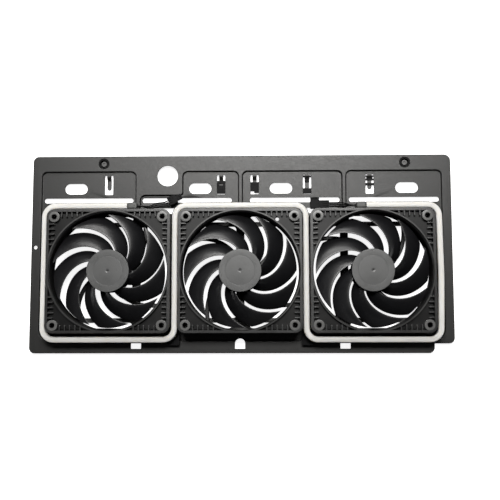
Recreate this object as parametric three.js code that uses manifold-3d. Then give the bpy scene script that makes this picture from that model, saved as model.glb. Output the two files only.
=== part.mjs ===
// A stamped steel fan tray for a computer case: three 120 mm fans side by side, a light strip that
// snakes round them in plastic carriers, and two captive screws that hold the tray in the case.
// Millimetres. The tray lies flat: +X along its length, +Y towards its captive screws, +Z up.
// The origin is under the middle of the tray, on the plane that the fan screws' heads rest on.

import * as THREE from 'three';
import { mergeVertices } from 'three/addons/utils/BufferGeometryUtils.js';
import Module from 'manifold-3d';

const wasm = await Module();
wasm.setup();

// ---------- driving dimensions ----------

const GAP = 0.3;                      // left between solids that touch

const TRAY_LENGTH = 417;
const TRAY_WIDTH = 196.4;
const TRAY_CORNER = 5.5;
const SHEET = 1.2;
const PAN_DEPTH = 2.4;                // how far the pans are pressed down from the rim
const WALL_RUN = 2.1;                 // how far a pan's wall slopes outward over that depth
const BEND = 0.5;                     // radius of the chamfers that stand for the bends
const NOTCH = { length: 19.7, width: 9.3 };

const FAN_SIZE = 120;
const FAN_DEPTH = 25;
const FAN_PITCH = 127.75;
const FAN_ROW_Y = -18.5;
const SCREW_SPACING = 105;
const FAN_BORE_R = 57.2;
const BLADE_COUNT = 9;
const FAN_PHASES = [25.8, 9.3, 37.5]; // how far each impeller stands turned, in degrees

const FAN_SCREW = { headR: 4.2, head: 2.2, shankR: 1.8, length: 12, chamfer: 0.8 };

const STRIP = {
  width: 5.6,
  height: 6,
  top: 18,                            // above the pan's floor
  edge: 0.8,
  bendR: 11,
  bowR: 500,
};
const TAPE_WIDTH = 4;
const CARRIER_WIDTH = 7;

const WIRE_R = 0.65;
const WIRE_SPACING = 1.65;

// ---------- levels ----------

const PAN_UNDER = FAN_SCREW.head + GAP;
const FLOOR = PAN_UNDER + SHEET;
const RIM_TOP = FLOOR + PAN_DEPTH;
const RIM_UNDER = RIM_TOP - SHEET;
const FAN_BACK = FLOOR + GAP;
const HALF_L = TRAY_LENGTH / 2;
const HALF_W = TRAY_WIDTH / 2;

// ---------- materials ----------

function material(color, roughness, metalness = 0) {
  return new THREE.MeshStandardMaterial({ color, roughness, metalness });
}

const POWDER_COAT = material(0x4a4a48, 0.55, 0.2);
const FRAME_PLASTIC = material(0x343434, 0.6);
const BLADE_PLASTIC = material(0x232325, 0.4);
const CARRIER_PLASTIC = material(0x161617, 0.55);
const CAP_PLASTIC = material(0x6d6f6d, 0.6);
const SILICONE = material(0xf1f0ea, 0.5);
const TAPE = material(0xd8d6c8, 0.6);
const BLACK_STEEL = material(0x1d1d1e, 0.4, 0.8);
const BRIGHT_STEEL = material(0xa8a8a6, 0.35, 0.9);
const FERRITE = material(0x3a3836, 0.8);
const COPPER = material(0xa8562a, 0.4, 0.8);
const BRASS = material(0xb08d46, 0.4, 0.9);
const BOARD = material(0x1f4a34, 0.6);
const WIRE_COVER = material(0x101011, 0.5);

// ---------- solids ----------

function toSolid(geometry) {
  const bare = geometry.clone();
  bare.deleteAttribute('normal');
  bare.deleteAttribute('uv');
  const merged = mergeVertices(bare, 1e-4);
  return new wasm.Manifold(new wasm.Mesh({
    numProp: 3,
    vertProperties: new Float32Array(merged.attributes.position.array),
    triVerts: new Uint32Array(merged.index.array),
  }));
}

function toGeometry(solid) {
  const mesh = solid.getMesh();
  const geometry = new THREE.BufferGeometry();
  geometry.setAttribute('position', new THREE.BufferAttribute(new Float32Array(mesh.vertProperties), 3));
  geometry.setIndex(new THREE.BufferAttribute(new Uint32Array(mesh.triVerts), 1));
  geometry.computeVertexNormals();
  return geometry;
}

function join(solids) {
  return solids.reduce((whole, solid) => whole.add(solid));
}

function cut(solid, tools) {
  return tools.reduce((rest, tool) => rest.subtract(tool), solid);
}

// An outline through corners [x, y, radius], anticlockwise, with its edges moved out by outset.
function outline(corners, outset = 0, steps = 3) {
  const points = [];
  corners.forEach(([x, y, radius], i) => {
    const [px, py] = corners.at(i - 1);
    const [nx, ny] = corners[(i + 1) % corners.length];
    const into = new THREE.Vector2(x - px, y - py).normalize();
    const away = new THREE.Vector2(nx - x, ny - y).normalize();
    const turn = Math.atan2(into.cross(away), into.dot(away));
    const side = Math.sign(turn);
    const inNormal = new THREE.Vector2(into.y, -into.x);
    const outNormal = new THREE.Vector2(away.y, -away.x);
    const shift = inNormal.clone().add(outNormal).multiplyScalar(outset / (1 + inNormal.dot(outNormal)));
    const corner = new THREE.Vector2(x, y).add(shift);
    const r = radius + side * outset;
    const start = corner.clone().addScaledVector(into, -r * Math.tan(Math.abs(turn) / 2));
    const centre = start.clone().addScaledVector(inNormal, -side * r);
    for (let k = 0; k <= steps; k++) {
      const spoke = start.clone().sub(centre).rotateAround(new THREE.Vector2(), turn * k / steps);
      points.push(centre.clone().add(spoke));
    }
  });
  return points;
}

// A closed body through outlines of equal point count, each { points, z }, from the lowest up.
function loft(levels) {
  const count = levels[0].points.length;
  const positions = levels.flatMap(({ points, z }) => points.flatMap((p) => [p.x, p.y, z]));
  const indices = [];
  for (let level = 0; level < levels.length - 1; level++) {
    for (let i = 0; i < count; i++) {
      const a = level * count + i;
      const b = level * count + (i + 1) % count;
      indices.push(a, b, b + count, a, b + count, a + count);
    }
  }
  const last = (levels.length - 1) * count;
  for (const [a, b, c] of THREE.ShapeUtils.triangulateShape(levels[0].points, [])) {
    indices.push(a, c, b);
  }
  for (const [a, b, c] of THREE.ShapeUtils.triangulateShape(levels.at(-1).points, [])) {
    indices.push(last + a, last + b, last + c);
  }
  const geometry = new THREE.BufferGeometry();
  geometry.setAttribute('position', new THREE.Float32BufferAttribute(positions, 3));
  geometry.setIndex(indices);
  return toSolid(geometry);
}

function prism(points, z0, z1) {
  return loft([{ points, z: z0 }, { points, z: z1 }]);
}

function rectangle(x0, y0, x1, y1, radius = 0, steps = 2) {
  if (radius === 0) {
    return [[x0, y0], [x1, y0], [x1, y1], [x0, y1]].map(([x, y]) => new THREE.Vector2(x, y));
  }
  return outline([[x0, y0, radius], [x1, y0, radius], [x1, y1, radius], [x0, y1, radius]], 0, steps);
}

function stadium(x, y, length, width) {
  return rectangle(x - length / 2, y - width / 2, x + length / 2, y + width / 2, width / 2 - 0.01, 3);
}

function circle(x, y, radius, steps) {
  const points = [];
  for (let i = 0; i < steps; i++) {
    const angle = 2 * Math.PI * i / steps;
    points.push(new THREE.Vector2(x + radius * Math.cos(angle), y + radius * Math.sin(angle)));
  }
  return points;
}

// Points along a line through corners [x, y, own radius], rounded to bendRadius where they have none.
function rounded(corners, bendRadius, steps = 5) {
  const points = [];
  corners.forEach(([x, y, radius = bendRadius], i) => {
    const here = new THREE.Vector2(x, y);
    if (i === 0 || i === corners.length - 1) {
      points.push(here);
      return;
    }
    const into = here.clone().sub(new THREE.Vector2(...corners[i - 1].slice(0, 2))).normalize();
    const away = new THREE.Vector2(...corners[i + 1].slice(0, 2)).sub(here).normalize();
    const turn = Math.atan2(into.cross(away), into.dot(away));
    const start = here.clone().addScaledVector(into, -radius * Math.tan(Math.abs(turn) / 2));
    const toCentre = new THREE.Vector2(-into.y, into.x).multiplyScalar(Math.sign(turn) * radius);
    const centre = start.clone().add(toCentre);
    for (let k = 0; k <= steps; k++) {
      points.push(start.clone().rotateAround(centre, turn * k / steps));
    }
  });
  return points;
}

// The outline of a band of constant width along a line, anticlockwise.
function band(line, width) {
  const left = [];
  const right = [];
  line.forEach((point, i) => {
    const before = line[Math.max(i - 1, 0)];
    const after = line[Math.min(i + 1, line.length - 1)];
    const into = point.clone().sub(before).normalize();
    const away = after.clone().sub(point).normalize();
    const along = into.add(away).normalize();
    const lean = i > 0 && i < line.length - 1 ? along.dot(away) : 1;
    const side = new THREE.Vector2(-along.y, along.x).multiplyScalar(width / 2 / lean);
    left.push(point.clone().add(side));
    right.push(point.clone().sub(side));
  });
  return [...right, ...left.reverse()];
}

// A turned body about Z from [radius, z] points that start and end on the axis or close on themselves.
function turned(profile, steps) {
  const geometry = new THREE.LatheGeometry(profile.map(([r, z]) => new THREE.Vector2(r, z)), steps);
  return toSolid(geometry.rotateX(Math.PI / 2));
}

function ring(inner, outer, z0, z1, steps) {
  return turned([[inner, z0], [outer, z0], [outer, z1], [inner, z1], [inner, z0]], steps);
}

// A profile of [y, z] points pushed along X from x0 to x1.
function extrudedAlongX(profile, x0, x1) {
  const solid = prism(profile.map(([y, z]) => new THREE.Vector2(y, z)), x0, x1);
  return solid.transform([0, 1, 0, 0, 0, 0, 1, 0, 1, 0, 0, 0, 0, 0, 0, 1]);
}

const object = new THREE.Group();

function addMesh(parent, name, geometryOrSolid, look) {
  const isGeometry = geometryOrSolid instanceof THREE.BufferGeometry;
  const mesh = new THREE.Mesh(isGeometry ? geometryOrSolid : toGeometry(geometryOrSolid), look);
  mesh.name = name;
  parent.add(mesh);
  return mesh;
}

// ---------- the tray ----------

const COLUMN = {
  outerEnd: 196.9,                    // the far end of the outer columns' slots
  outerStart: 107.6,
  innerEnd: 98.5,
  innerStart: 9,
};
const PAN = { left: -198.4, right: 198.4, bottom: FAN_ROW_Y - 66.8, top: FAN_ROW_Y + 100 };
const LOW_PANEL_TOP = FAN_ROW_Y + 76;
const RIB_END = FAN_ROW_Y + 63;
const PAN_RADIUS = 10;
const RIB_RADIUS = 2.7;
const PANEL_RADIUS = 4;
const RIBS = [                        // the pan floor's edges on both sides of each rib
  { left: -105.9, right: -99.4 },
  { left: -3.2, right: 2.6 },
  { left: 99.9, right: 105.6 },
];
const LOW_PANEL_END = -57;            // where the low panel meets the second full-height panel

// The edge of the pan's floor, anticlockwise from the lower left corner.
const panCorners = [
  [PAN.left, PAN.bottom, PAN_RADIUS],
  [PAN.right, PAN.bottom, PAN_RADIUS],
  [PAN.right, PAN.top, PANEL_RADIUS],
  [RIBS[2].right, PAN.top, PANEL_RADIUS],
  [RIBS[2].right, RIB_END, RIB_RADIUS],
  [RIBS[2].left, RIB_END, RIB_RADIUS],
  [RIBS[2].left, PAN.top, PANEL_RADIUS],
  [RIBS[1].right, PAN.top, PANEL_RADIUS],
  [RIBS[1].right, RIB_END, RIB_RADIUS],
  [RIBS[1].left, RIB_END, RIB_RADIUS],
  [RIBS[1].left, PAN.top, PANEL_RADIUS],
  [LOW_PANEL_END, PAN.top, PANEL_RADIUS],
  [LOW_PANEL_END, LOW_PANEL_TOP, PANEL_RADIUS],
  [RIBS[0].right, LOW_PANEL_TOP, PANEL_RADIUS],
  [RIBS[0].right, RIB_END, RIB_RADIUS],
  [RIBS[0].left, RIB_END, RIB_RADIUS],
  [RIBS[0].left, PAN.top, PANEL_RADIUS],
  [PAN.left, PAN.top, PANEL_RADIUS],
];

// The same floor without its ribs, for the underside.
const blankCorners = [
  [PAN.left, PAN.bottom, PAN_RADIUS],
  [PAN.right, PAN.bottom, PAN_RADIUS],
  [PAN.right, PAN.top, PANEL_RADIUS],
  [LOW_PANEL_END, PAN.top, PANEL_RADIUS],
  [LOW_PANEL_END, LOW_PANEL_TOP, PANEL_RADIUS],
  [RIBS[0].left, LOW_PANEL_TOP, PANEL_RADIUS],
  [RIBS[0].left, PAN.top, PANEL_RADIUS],
  [PAN.left, PAN.top, PANEL_RADIUS],
];

function panCavity() {
  return loft([
    { points: outline(panCorners, -BEND / 2), z: FLOOR },
    { points: outline(panCorners, BEND / 2), z: FLOOR + BEND / 2 },
    { points: outline(panCorners, WALL_RUN - BEND / 2), z: RIM_TOP - BEND / 2 },
    { points: outline(panCorners, WALL_RUN + BEND / 2), z: RIM_TOP },
    { points: outline(panCorners, WALL_RUN + BEND / 2), z: RIM_TOP + 1 },
  ]);
}

function panUnderside() {
  const thick = SHEET * 0.6;
  return loft([
    { points: outline(blankCorners, thick), z: PAN_UNDER },
    { points: outline(blankCorners, WALL_RUN + thick), z: RIM_UNDER },
    { points: outline(blankCorners, WALL_RUN + thick), z: RIM_TOP },
  ]);
}

// The V-shaped groove under a rib.
function ribGroove(x, top) {
  const y0 = RIB_END + RIB_RADIUS + 2;
  const wide = 1.7;
  const narrow = 0.5;
  const end = (half) => rectangle(x - half, y0 - half, x + half, top + half, half * 0.98);
  return loft([
    { points: end(wide), z: PAN_UNDER - 1 },
    { points: end(wide), z: PAN_UNDER },
    { points: end(narrow), z: RIM_UNDER - 0.2 },
  ]);
}

const FAN_SLOT = { y: SCREW_SPACING / 2 + 0.1, width: 5.4 };
const AIR_OPENING = { halfHeight: 45.2, corner: 3, endR: 58.5 };
const AIR_BAR = [[-107.8, -99.3], [-4.6, 3.6], [98.2, 106.2]];
const LONG_SLOT_ROWS = [
  { y: FAN_ROW_Y + 72.1, width: 4.7 },
  { y: FAN_ROW_Y + 61.4, width: 5.4 },
  { y: FAN_ROW_Y + FAN_SLOT.y, width: FAN_SLOT.width },
  { y: FAN_ROW_Y - FAN_SLOT.y, width: FAN_SLOT.width },
];
const OVAL = { y: FAN_ROW_Y + 84, length: 22.5, width: 10.7, xs: [-165.2, -40.6, 40.1, 165.2] };
const WIRE_HOLE = { x: -73.1, y: FAN_ROW_Y + 96.5, radius: 10.3 };
const HANG_HOLE = { x: -204.3, y: 6.5, radius: 1.8 };
const HOOK_HOLE = { xs: [-102.9, -0.7, 102.2], low: FAN_ROW_Y - 75.3, high: FAN_ROW_Y - 65.4, width: 10 };
const TIE_SLOT = { y: FAN_ROW_Y + 87.7, width: 8.2, height: 19.5, xs: [-132.3, -19.7, 13.8, 66.2, 128.5] };
const TONGUE = { width: 4.2, root: 1.6, slope: 4.5, flat: 7, drop: 2.2, tip: 2.2 };
const CAPTIVE_XS = [-137.4, 163.3];
const CAPTIVE_Y = 90.6;
const CAPTIVE_HOLE_R = 5.4;

function through(points) {
  return prism(points, -5, RIM_TOP + 5);
}

function airOpenings() {
  const { halfHeight, corner, endR } = AIR_OPENING;
  const edges = [-TRAY_LENGTH, ...AIR_BAR.flat(), TRAY_LENGTH];
  const low = FAN_ROW_Y - halfHeight;
  const high = FAN_ROW_Y + halfHeight;
  const openings = [];
  for (let column = 0; column < 4; column++) {
    const opening = through(rectangle(edges[2 * column], low, edges[2 * column + 1], high, corner));
    openings.push(opening);
  }
  // The outer columns end in an arc round their fan.
  for (const [column, fan] of [[0, -1], [3, 1]]) {
    const middle = through(circle(fan * FAN_PITCH, FAN_ROW_Y, endR, 60));
    openings[column] = openings[column].intersect(middle);
  }
  return openings;
}

function longSlots() {
  const innerLength = COLUMN.innerEnd - COLUMN.innerStart;
  const outerLength = COLUMN.outerEnd - COLUMN.outerStart;
  const innerX = COLUMN.innerStart + innerLength / 2;
  const outerX = COLUMN.outerStart + outerLength / 2;
  const slots = [];
  for (const row of LONG_SLOT_ROWS) {
    for (const side of [-1, 1]) {
      slots.push(through(stadium(side * innerX, row.y, innerLength, row.width)));
      slots.push(through(stadium(side * outerX, row.y, outerLength, row.width)));
    }
  }
  return slots;
}

function tieTongue(x) {
  const top = TIE_SLOT.y + TIE_SLOT.height / 2;
  const low = FLOOR - TONGUE.drop;
  const y1 = top - TONGUE.root;
  const y2 = y1 - TONGUE.slope;
  const y3 = y2 - TONGUE.flat;
  const y4 = y3 - TONGUE.tip;
  const face = [[top + 0.5, FLOOR], [y1, FLOOR], [y2, low], [y3, low], [y4, low - 0.15]];
  const back = face.map(([y, z]) => [y, Math.max(z - SHEET, 0.1)]).reverse();
  return extrudedAlongX([...face, ...back], x - TONGUE.width / 2, x + TONGUE.width / 2);
}

function makeTray() {
  const edge = outline([
    [-HALF_L, -HALF_W, TRAY_CORNER],
    [HALF_L - NOTCH.length, -HALF_W, TRAY_CORNER],
    [HALF_L - NOTCH.length, -HALF_W + NOTCH.width, 0.8],
    [HALF_L, -HALF_W + NOTCH.width, TRAY_CORNER],
    [HALF_L, HALF_W, TRAY_CORNER + 1],
    [-HALF_L, HALF_W, TRAY_CORNER],
  ]);
  const sheet = prism(edge, RIM_UNDER, RIM_TOP);
  const pressed = cut(join([sheet, panUnderside()]), [
    panCavity(),
    ribGroove((RIBS[0].left + RIBS[0].right) / 2, LOW_PANEL_TOP),
    ribGroove((RIBS[1].left + RIBS[1].right) / 2, PAN.top),
    ribGroove((RIBS[2].left + RIBS[2].right) / 2, PAN.top),
  ]);
  const holes = [
    ...airOpenings(),
    ...longSlots(),
    ...OVAL.xs.map((x) => through(stadium(x, OVAL.y, OVAL.length, OVAL.width))),
    through(circle(WIRE_HOLE.x, WIRE_HOLE.y, WIRE_HOLE.radius, 36)),
    through(circle(HANG_HOLE.x, HANG_HOLE.y, HANG_HOLE.radius, 12)),
    ...CAPTIVE_XS.map((x) => through(circle(x, CAPTIVE_Y, CAPTIVE_HOLE_R, 24))),
    ...HOOK_HOLE.xs.map((x) => through(outline([
      [x - HOOK_HOLE.width / 2, HOOK_HOLE.low, 0.3],
      [x + HOOK_HOLE.width / 2, HOOK_HOLE.low, 0.3],
      [x + HOOK_HOLE.width / 2, HOOK_HOLE.high, HOOK_HOLE.width / 2 - 0.05],
      [x - HOOK_HOLE.width / 2, HOOK_HOLE.high, HOOK_HOLE.width / 2 - 0.05],
    ]))),
    ...TIE_SLOT.xs.map((x) => through(rectangle(
      x - TIE_SLOT.width / 2,
      TIE_SLOT.y - TIE_SLOT.height / 2,
      x + TIE_SLOT.width / 2,
      TIE_SLOT.y + TIE_SLOT.height / 2,
      0.8,
      1,
    ))),
  ];
  return join([cut(pressed, holes), ...TIE_SLOT.xs.map(tieTongue)]);
}

addMesh(object, 'tray_plate', makeTray(), POWDER_COAT);

// ---------- captive screws ----------

const RETAINER = { flangeR: 6.6, wellR: 3.9, wellDepth: 3.3, boreR: 1.9, floor: 1.2, recess: 0.2 };
const CAPTIVE_SCREW = {
  headR: 3,
  head: 1.5,
  shankR: 1.5,
  socketR: 1.2,
  socket: 0.9,
  tip: 0.4,                           // the height of the shank's end
  chamfer: 0.4,
};

function captiveRetainer() {
  const top = RIM_TOP - RETAINER.recess;
  const wellFloor = top - RETAINER.wellDepth;
  const bottom = wellFloor - RETAINER.floor;
  return turned([
    [RETAINER.boreR, bottom],
    [RETAINER.flangeR, bottom],
    [RETAINER.flangeR, RIM_UNDER - GAP],
    [CAPTIVE_HOLE_R - GAP, RIM_UNDER - GAP],
    [CAPTIVE_HOLE_R - GAP, top],
    [RETAINER.wellR, top],
    [RETAINER.wellR, wellFloor],
    [RETAINER.boreR, wellFloor],
    [RETAINER.boreR, bottom],
  ], 16);
}

function captiveScrew() {
  const { headR, head, shankR, socketR, socket, tip, chamfer } = CAPTIVE_SCREW;
  const headUnder = RIM_TOP - RETAINER.recess - RETAINER.wellDepth + GAP;
  const headTop = headUnder + head;
  return turned([
    [0, tip],
    [shankR - chamfer, tip],
    [shankR, tip + chamfer],
    [shankR, headUnder],
    [headR, headUnder],
    [headR, headTop - chamfer],
    [headR - chamfer, headTop],
    [socketR, headTop],
    [socketR, headTop - socket],
    [0, headTop - socket],
  ], 12);
}

for (const [i, side] of ['left', 'right'].entries()) {
  const place = new THREE.Group();
  place.position.set(CAPTIVE_XS[i], CAPTIVE_Y, 0);
  object.add(place);
  addMesh(place, `captive_retainer_${side}`, captiveRetainer(), CARRIER_PLASTIC);
  addMesh(place, `captive_screw_${side}`, captiveScrew(), BLACK_STEEL);
}

// ---------- fan frames ----------

const HALF_FAN = FAN_SIZE / 2;
const BORE_STEPS = 40;
const PEG_STEPS = 8;
const POST = { r: 5.2, holeR: 2.15 };
const FRAME = {
  rail: 2.6,
  ringWall: 1.9,
  webTop: 20.8,
  webThick: 2,
  lip: 1.1,                           // how far the bore opens out at its mouth
  lipDepth: 2.2,
};
const LEAD_HOLE = { fan: 1, x: 36, y: 49.8, r: 1.8 };
const STRUT = { count: 4, width: 4, height: 3, start: 20, sweep: 0.95, steps: 4 };
const MOTOR_BASE = { r: 20, thick: 2 };
const TUBE = { r: 4.6, top: 17 };
const BEARING = { outerR: 3.3, innerR: 1.6, z0: 3.5, z1: 16.5 };
const BEARING_CAP = { z0: 0.2, z1: 1.4 };

// One of the curved arms that hold the motor's base, swept the same way as the blades.
function strut(index) {
  const innerR = MOTOR_BASE.r - 2;
  const outerR = FAN_BORE_R + 2;
  const line = [];
  for (let i = 0; i <= STRUT.steps; i++) {
    const r = innerR + (outerR - innerR) * i / STRUT.steps;
    const angle = STRUT.start + 360 * index / STRUT.count + STRUT.sweep * (r - MOTOR_BASE.r);
    line.push(new THREE.Vector2(r, 0).rotateAround(new THREE.Vector2(), THREE.MathUtils.degToRad(angle)));
  }
  return prism(band(line, STRUT.width), 0, STRUT.height);
}

function onCorners(makeSolid) {
  const half = SCREW_SPACING / 2;
  return [[-half, -half], [half, -half], [half, half], [-half, half]].map(([x, y]) => makeSolid(x, y));
}

function drilled(x, y, radius) {
  return prism(circle(x, y, radius, PEG_STEPS), -1, FAN_DEPTH + 1);
}

function makeFrame(hasLeadHole) {
  const corner = HALF_FAN - SCREW_SPACING / 2;
  const square = [[-1, -1], [1, -1], [1, 1], [-1, 1]].map(([sx, sy]) => (
    [sx * HALF_FAN, sy * HALF_FAN, corner]
  ));
  const plate = prism(outline(square), 0, FAN_DEPTH);
  const inside = outline(square, -FRAME.rail);
  const mouthR = FAN_BORE_R + FRAME.lip;
  const bore = turned([
    [0, -1],
    [FAN_BORE_R, -1],
    [FAN_BORE_R, FAN_DEPTH - FRAME.lipDepth],
    [mouthR, FAN_DEPTH],
    [mouthR, FAN_DEPTH + 1],
    [0, FAN_DEPTH + 1],
  ], BORE_STEPS);
  const ringWall = prism(circle(0, 0, FAN_BORE_R + FRAME.ringWall, BORE_STEPS), -2, FAN_DEPTH + 2);
  const posts = onCorners((x, y) => prism(circle(x, y, POST.r, PEG_STEPS), -2, FAN_DEPTH + 2));
  const holes = onCorners((x, y) => drilled(x, y, POST.holeR));
  if (hasLeadHole) {
    holes.push(drilled(LEAD_HOLE.x, LEAD_HOLE.y, LEAD_HOLE.r));
  }
  const pockets = [[-1, FRAME.webTop - FRAME.webThick], [FRAME.webTop, FAN_DEPTH + 1]]
    .map(([z0, z1]) => cut(prism(inside, z0, z1), [ringWall, ...posts]));
  const shell = cut(plate, [bore, ...holes, ...pockets]);
  const reach = prism(circle(0, 0, FAN_BORE_R + 1, BORE_STEPS), -1, STRUT.height + 1);
  const struts = join(Array.from({ length: STRUT.count }, (_, i) => strut(i))).intersect(reach);
  const base = prism(circle(0, 0, MOTOR_BASE.r, 24), 0, MOTOR_BASE.thick);
  const tube = prism(circle(0, 0, TUBE.r, 16), 0, TUBE.top);
  const tubeBore = prism(circle(0, 0, BEARING.outerR + GAP, 16), -1, TUBE.top + 1);
  return join([shell, cut(join([base, tube, struts]), [tubeBore])]);
}

// ---------- impellers ----------

const SHAFT_R = 1.5;
const HUB_STEPS = 24;
const HUB = { r: 20.6, top: 24.1, skirt: 7.5, wall: 1.3, roof: 1.6, edge: 0.8, bossR: 3.4, bossEnd: 17.6 };
const MAGNET = { wall: 1.6, z0: 8, z1: 18 };
const BLADE = {
  radialSteps: 3,
  chordSteps: 3,
  tipR: 54.8,
  back: 7.5,                          // the level of the trailing edge
  front: 19.8,                        // the level of the leading edge
  thick: 1.3,
  camber: 0.6,
  midR: 38,
  sweep: 1.683,                       // degrees turned per mm outward, at midR
  curl: 0.0024,                       // how fast that grows
  gap: 3.2,                           // between two blades at the hub
  gapGrowth: 0.062,                   // and how much wider it gets per mm outward
};

// One blade: a curved plate between its trailing edge, low, and its leading edge, high.
function makeBlade(phase) {
  const { radialSteps, chordSteps } = BLADE;
  const rootR = HUB.r - 0.8;
  const positions = [];
  for (const sheetSide of [-1, 1]) {
    for (let i = 0; i <= radialSteps; i++) {
      const r = rootR + (BLADE.tipR - rootR) * i / radialSteps;
      const gap = (BLADE.gap + BLADE.gapGrowth * (r - HUB.r)) / r;
      const out = r - BLADE.midR;
      const turn = phase + BLADE.sweep * out + BLADE.curl * out * out;
      const start = THREE.MathUtils.degToRad(turn) + gap / 2;
      const width = 2 * Math.PI / BLADE_COUNT - gap;
      for (let k = 0; k <= chordSteps; k++) {
        const u = k / chordSteps;
        const angle = start + width * u;
        const rise = (1 + BLADE.camber) * u - BLADE.camber * u * u;
        const middle = BLADE.back + BLADE.thick / 2 + (BLADE.front - BLADE.back - BLADE.thick) * rise;
        const half = BLADE.thick / 2 * (0.45 + 0.55 * Math.sin(Math.PI * Math.min(1, 0.25 + u)));
        positions.push(r * Math.cos(angle), r * Math.sin(angle), middle + sheetSide * half);
      }
    }
  }
  const row = chordSteps + 1;
  const side = (radialSteps + 1) * row;
  const indices = [];
  const quad = (a, b, c, d) => indices.push(a, b, c, a, c, d);
  for (let i = 0; i < radialSteps; i++) {
    for (let k = 0; k < chordSteps; k++) {
      const a = i * row + k;
      quad(a, a + 1, a + row + 1, a + row);
      quad(side + a, side + a + row, side + a + row + 1, side + a + 1);
    }
    const first = i * row;
    const last = first + chordSteps;
    quad(first, first + row, side + first + row, side + first);
    quad(last + row, last, side + last, side + last + row);
  }
  for (let k = 0; k < chordSteps; k++) {
    const tip = radialSteps * row + k;
    quad(k + 1, k, side + k, side + k + 1);
    quad(tip, tip + 1, side + tip + 1, side + tip);
  }
  const geometry = new THREE.BufferGeometry();
  geometry.setAttribute('position', new THREE.Float32BufferAttribute(positions, 3));
  geometry.setIndex(indices);
  return toSolid(geometry);
}

// A plain cylinder about Z.
function plug(radius, z0, z1, steps) {
  return turned([[0, z0], [radius, z0], [radius, z1], [0, z1]], steps);
}

function makeImpeller(phase) {
  const roofUnder = HUB.top - HUB.roof;
  const innerR = HUB.r - HUB.wall;
  const hub = turned([
    [0, HUB.bossEnd],
    [HUB.bossR, HUB.bossEnd],
    [HUB.bossR, roofUnder],
    [innerR, roofUnder],
    [innerR, HUB.skirt],
    [HUB.r, HUB.skirt],
    [HUB.r, HUB.top - HUB.edge],
    [HUB.r - HUB.edge, HUB.top],
    [0, HUB.top],
  ], HUB_STEPS);
  const blades = Array.from({ length: BLADE_COUNT }, (_, i) => makeBlade(phase + 360 * i / BLADE_COUNT));
  const hollow = cut(join([hub, ...blades]), [plug(innerR, 0, roofUnder, HUB_STEPS)]);
  const boss = plug(HUB.bossR, HUB.bossEnd, HUB.top - 1, 12);
  return cut(join([hollow, boss]), [plug(SHAFT_R + GAP, 0, roofUnder, 12)]);
}

// ---------- fan motors ----------

const STATOR = { z0: 8.6, z1: 15.4, armHalf: 2.6, armEnd: 12, shoeR: 15.2, shoeHalf: 6.5, coreR: 6.6 };
const BOARD_RING = { outerR: 16.5, z0: 4.4, z1: 5.6 };
const SHAFT = { bottom: 2.2, top: HUB.top - HUB.roof - GAP, grooveR: 1.1, groove0: 2.6, groove1: 3.2 };
const CLIP = { outerR: 2.6, play: 0.1 };

// Four T-shaped arms round the bearing tube.
function makeStator() {
  const { z0, z1, armHalf, armEnd, shoeR, shoeHalf, coreR } = STATOR;
  const arm = [
    [armHalf, -armHalf],
    [armEnd, -armHalf],
    [armEnd, -shoeHalf],
    [shoeR, -shoeHalf],
    [shoeR, shoeHalf],
    [armEnd, shoeHalf],
    [armEnd, armHalf],
  ];
  const cross = [0, 1, 2, 3].flatMap((quarter) => arm.map(([x, y]) => (
    new THREE.Vector2(x, y).rotateAround(new THREE.Vector2(), quarter * Math.PI / 2)
  )));
  const tubeRoom = prism(circle(0, 0, TUBE.r + GAP, 16), 0, FAN_DEPTH);
  const core = prism(circle(0, 0, coreR, 16), z0 - 0.6, z1 + 0.6);
  return cut(join([prism(cross, z0, z1), core]), [tubeRoom]);
}

function makeShaft() {
  return turned([
    [0, SHAFT.bottom],
    [SHAFT_R, SHAFT.bottom],
    [SHAFT_R, SHAFT.groove0],
    [SHAFT.grooveR, SHAFT.groove0],
    [SHAFT.grooveR, SHAFT.groove1],
    [SHAFT_R, SHAFT.groove1],
    [SHAFT_R, SHAFT.top],
    [0, SHAFT.top],
  ], 12);
}

function makeClip() {
  return ring(SHAFT.grooveR + 0.05, CLIP.outerR, SHAFT.groove0 + CLIP.play, SHAFT.groove1 - CLIP.play, 12);
}

for (let fan = 0; fan < 3; fan++) {
  const place = new THREE.Group();
  place.position.set((fan - 1) * FAN_PITCH, FAN_ROW_Y, FAN_BACK);
  object.add(place);
  const add = (part, solid, look) => addMesh(place, `fan_${fan + 1}_${part}`, solid, look);
  const magnetR = HUB.r - HUB.wall - GAP;
  add('frame', makeFrame(fan === LEAD_HOLE.fan), FRAME_PLASTIC);
  add('impeller', makeImpeller(FAN_PHASES[fan]), BLADE_PLASTIC);
  add('magnet_ring', ring(magnetR - MAGNET.wall, magnetR, MAGNET.z0, MAGNET.z1, 20), FERRITE);
  add('shaft', makeShaft(), BRIGHT_STEEL);
  add('shaft_clip', makeClip(), BLACK_STEEL);
  add('bearing', ring(BEARING.innerR, BEARING.outerR, BEARING.z0, BEARING.z1, 12), BRASS);
  add('stator', makeStator(), COPPER);
  add('circuit_board', ring(TUBE.r + GAP, BOARD_RING.outerR, BOARD_RING.z0, BOARD_RING.z1, 16), BOARD);
  add('bearing_cap', plug(BEARING.outerR, BEARING_CAP.z0, BEARING_CAP.z1, 12), CARRIER_PLASTIC);
}

// ---------- fan screws ----------

function makeFanScrew() {
  const { headR, head, shankR, length, chamfer } = FAN_SCREW;
  return turned([
    [0, 0],
    [headR - chamfer, 0],
    [headR, chamfer],
    [headR, head],
    [shankR, head],
    [shankR, length],
    [0, length],
  ], 10);
}

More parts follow.
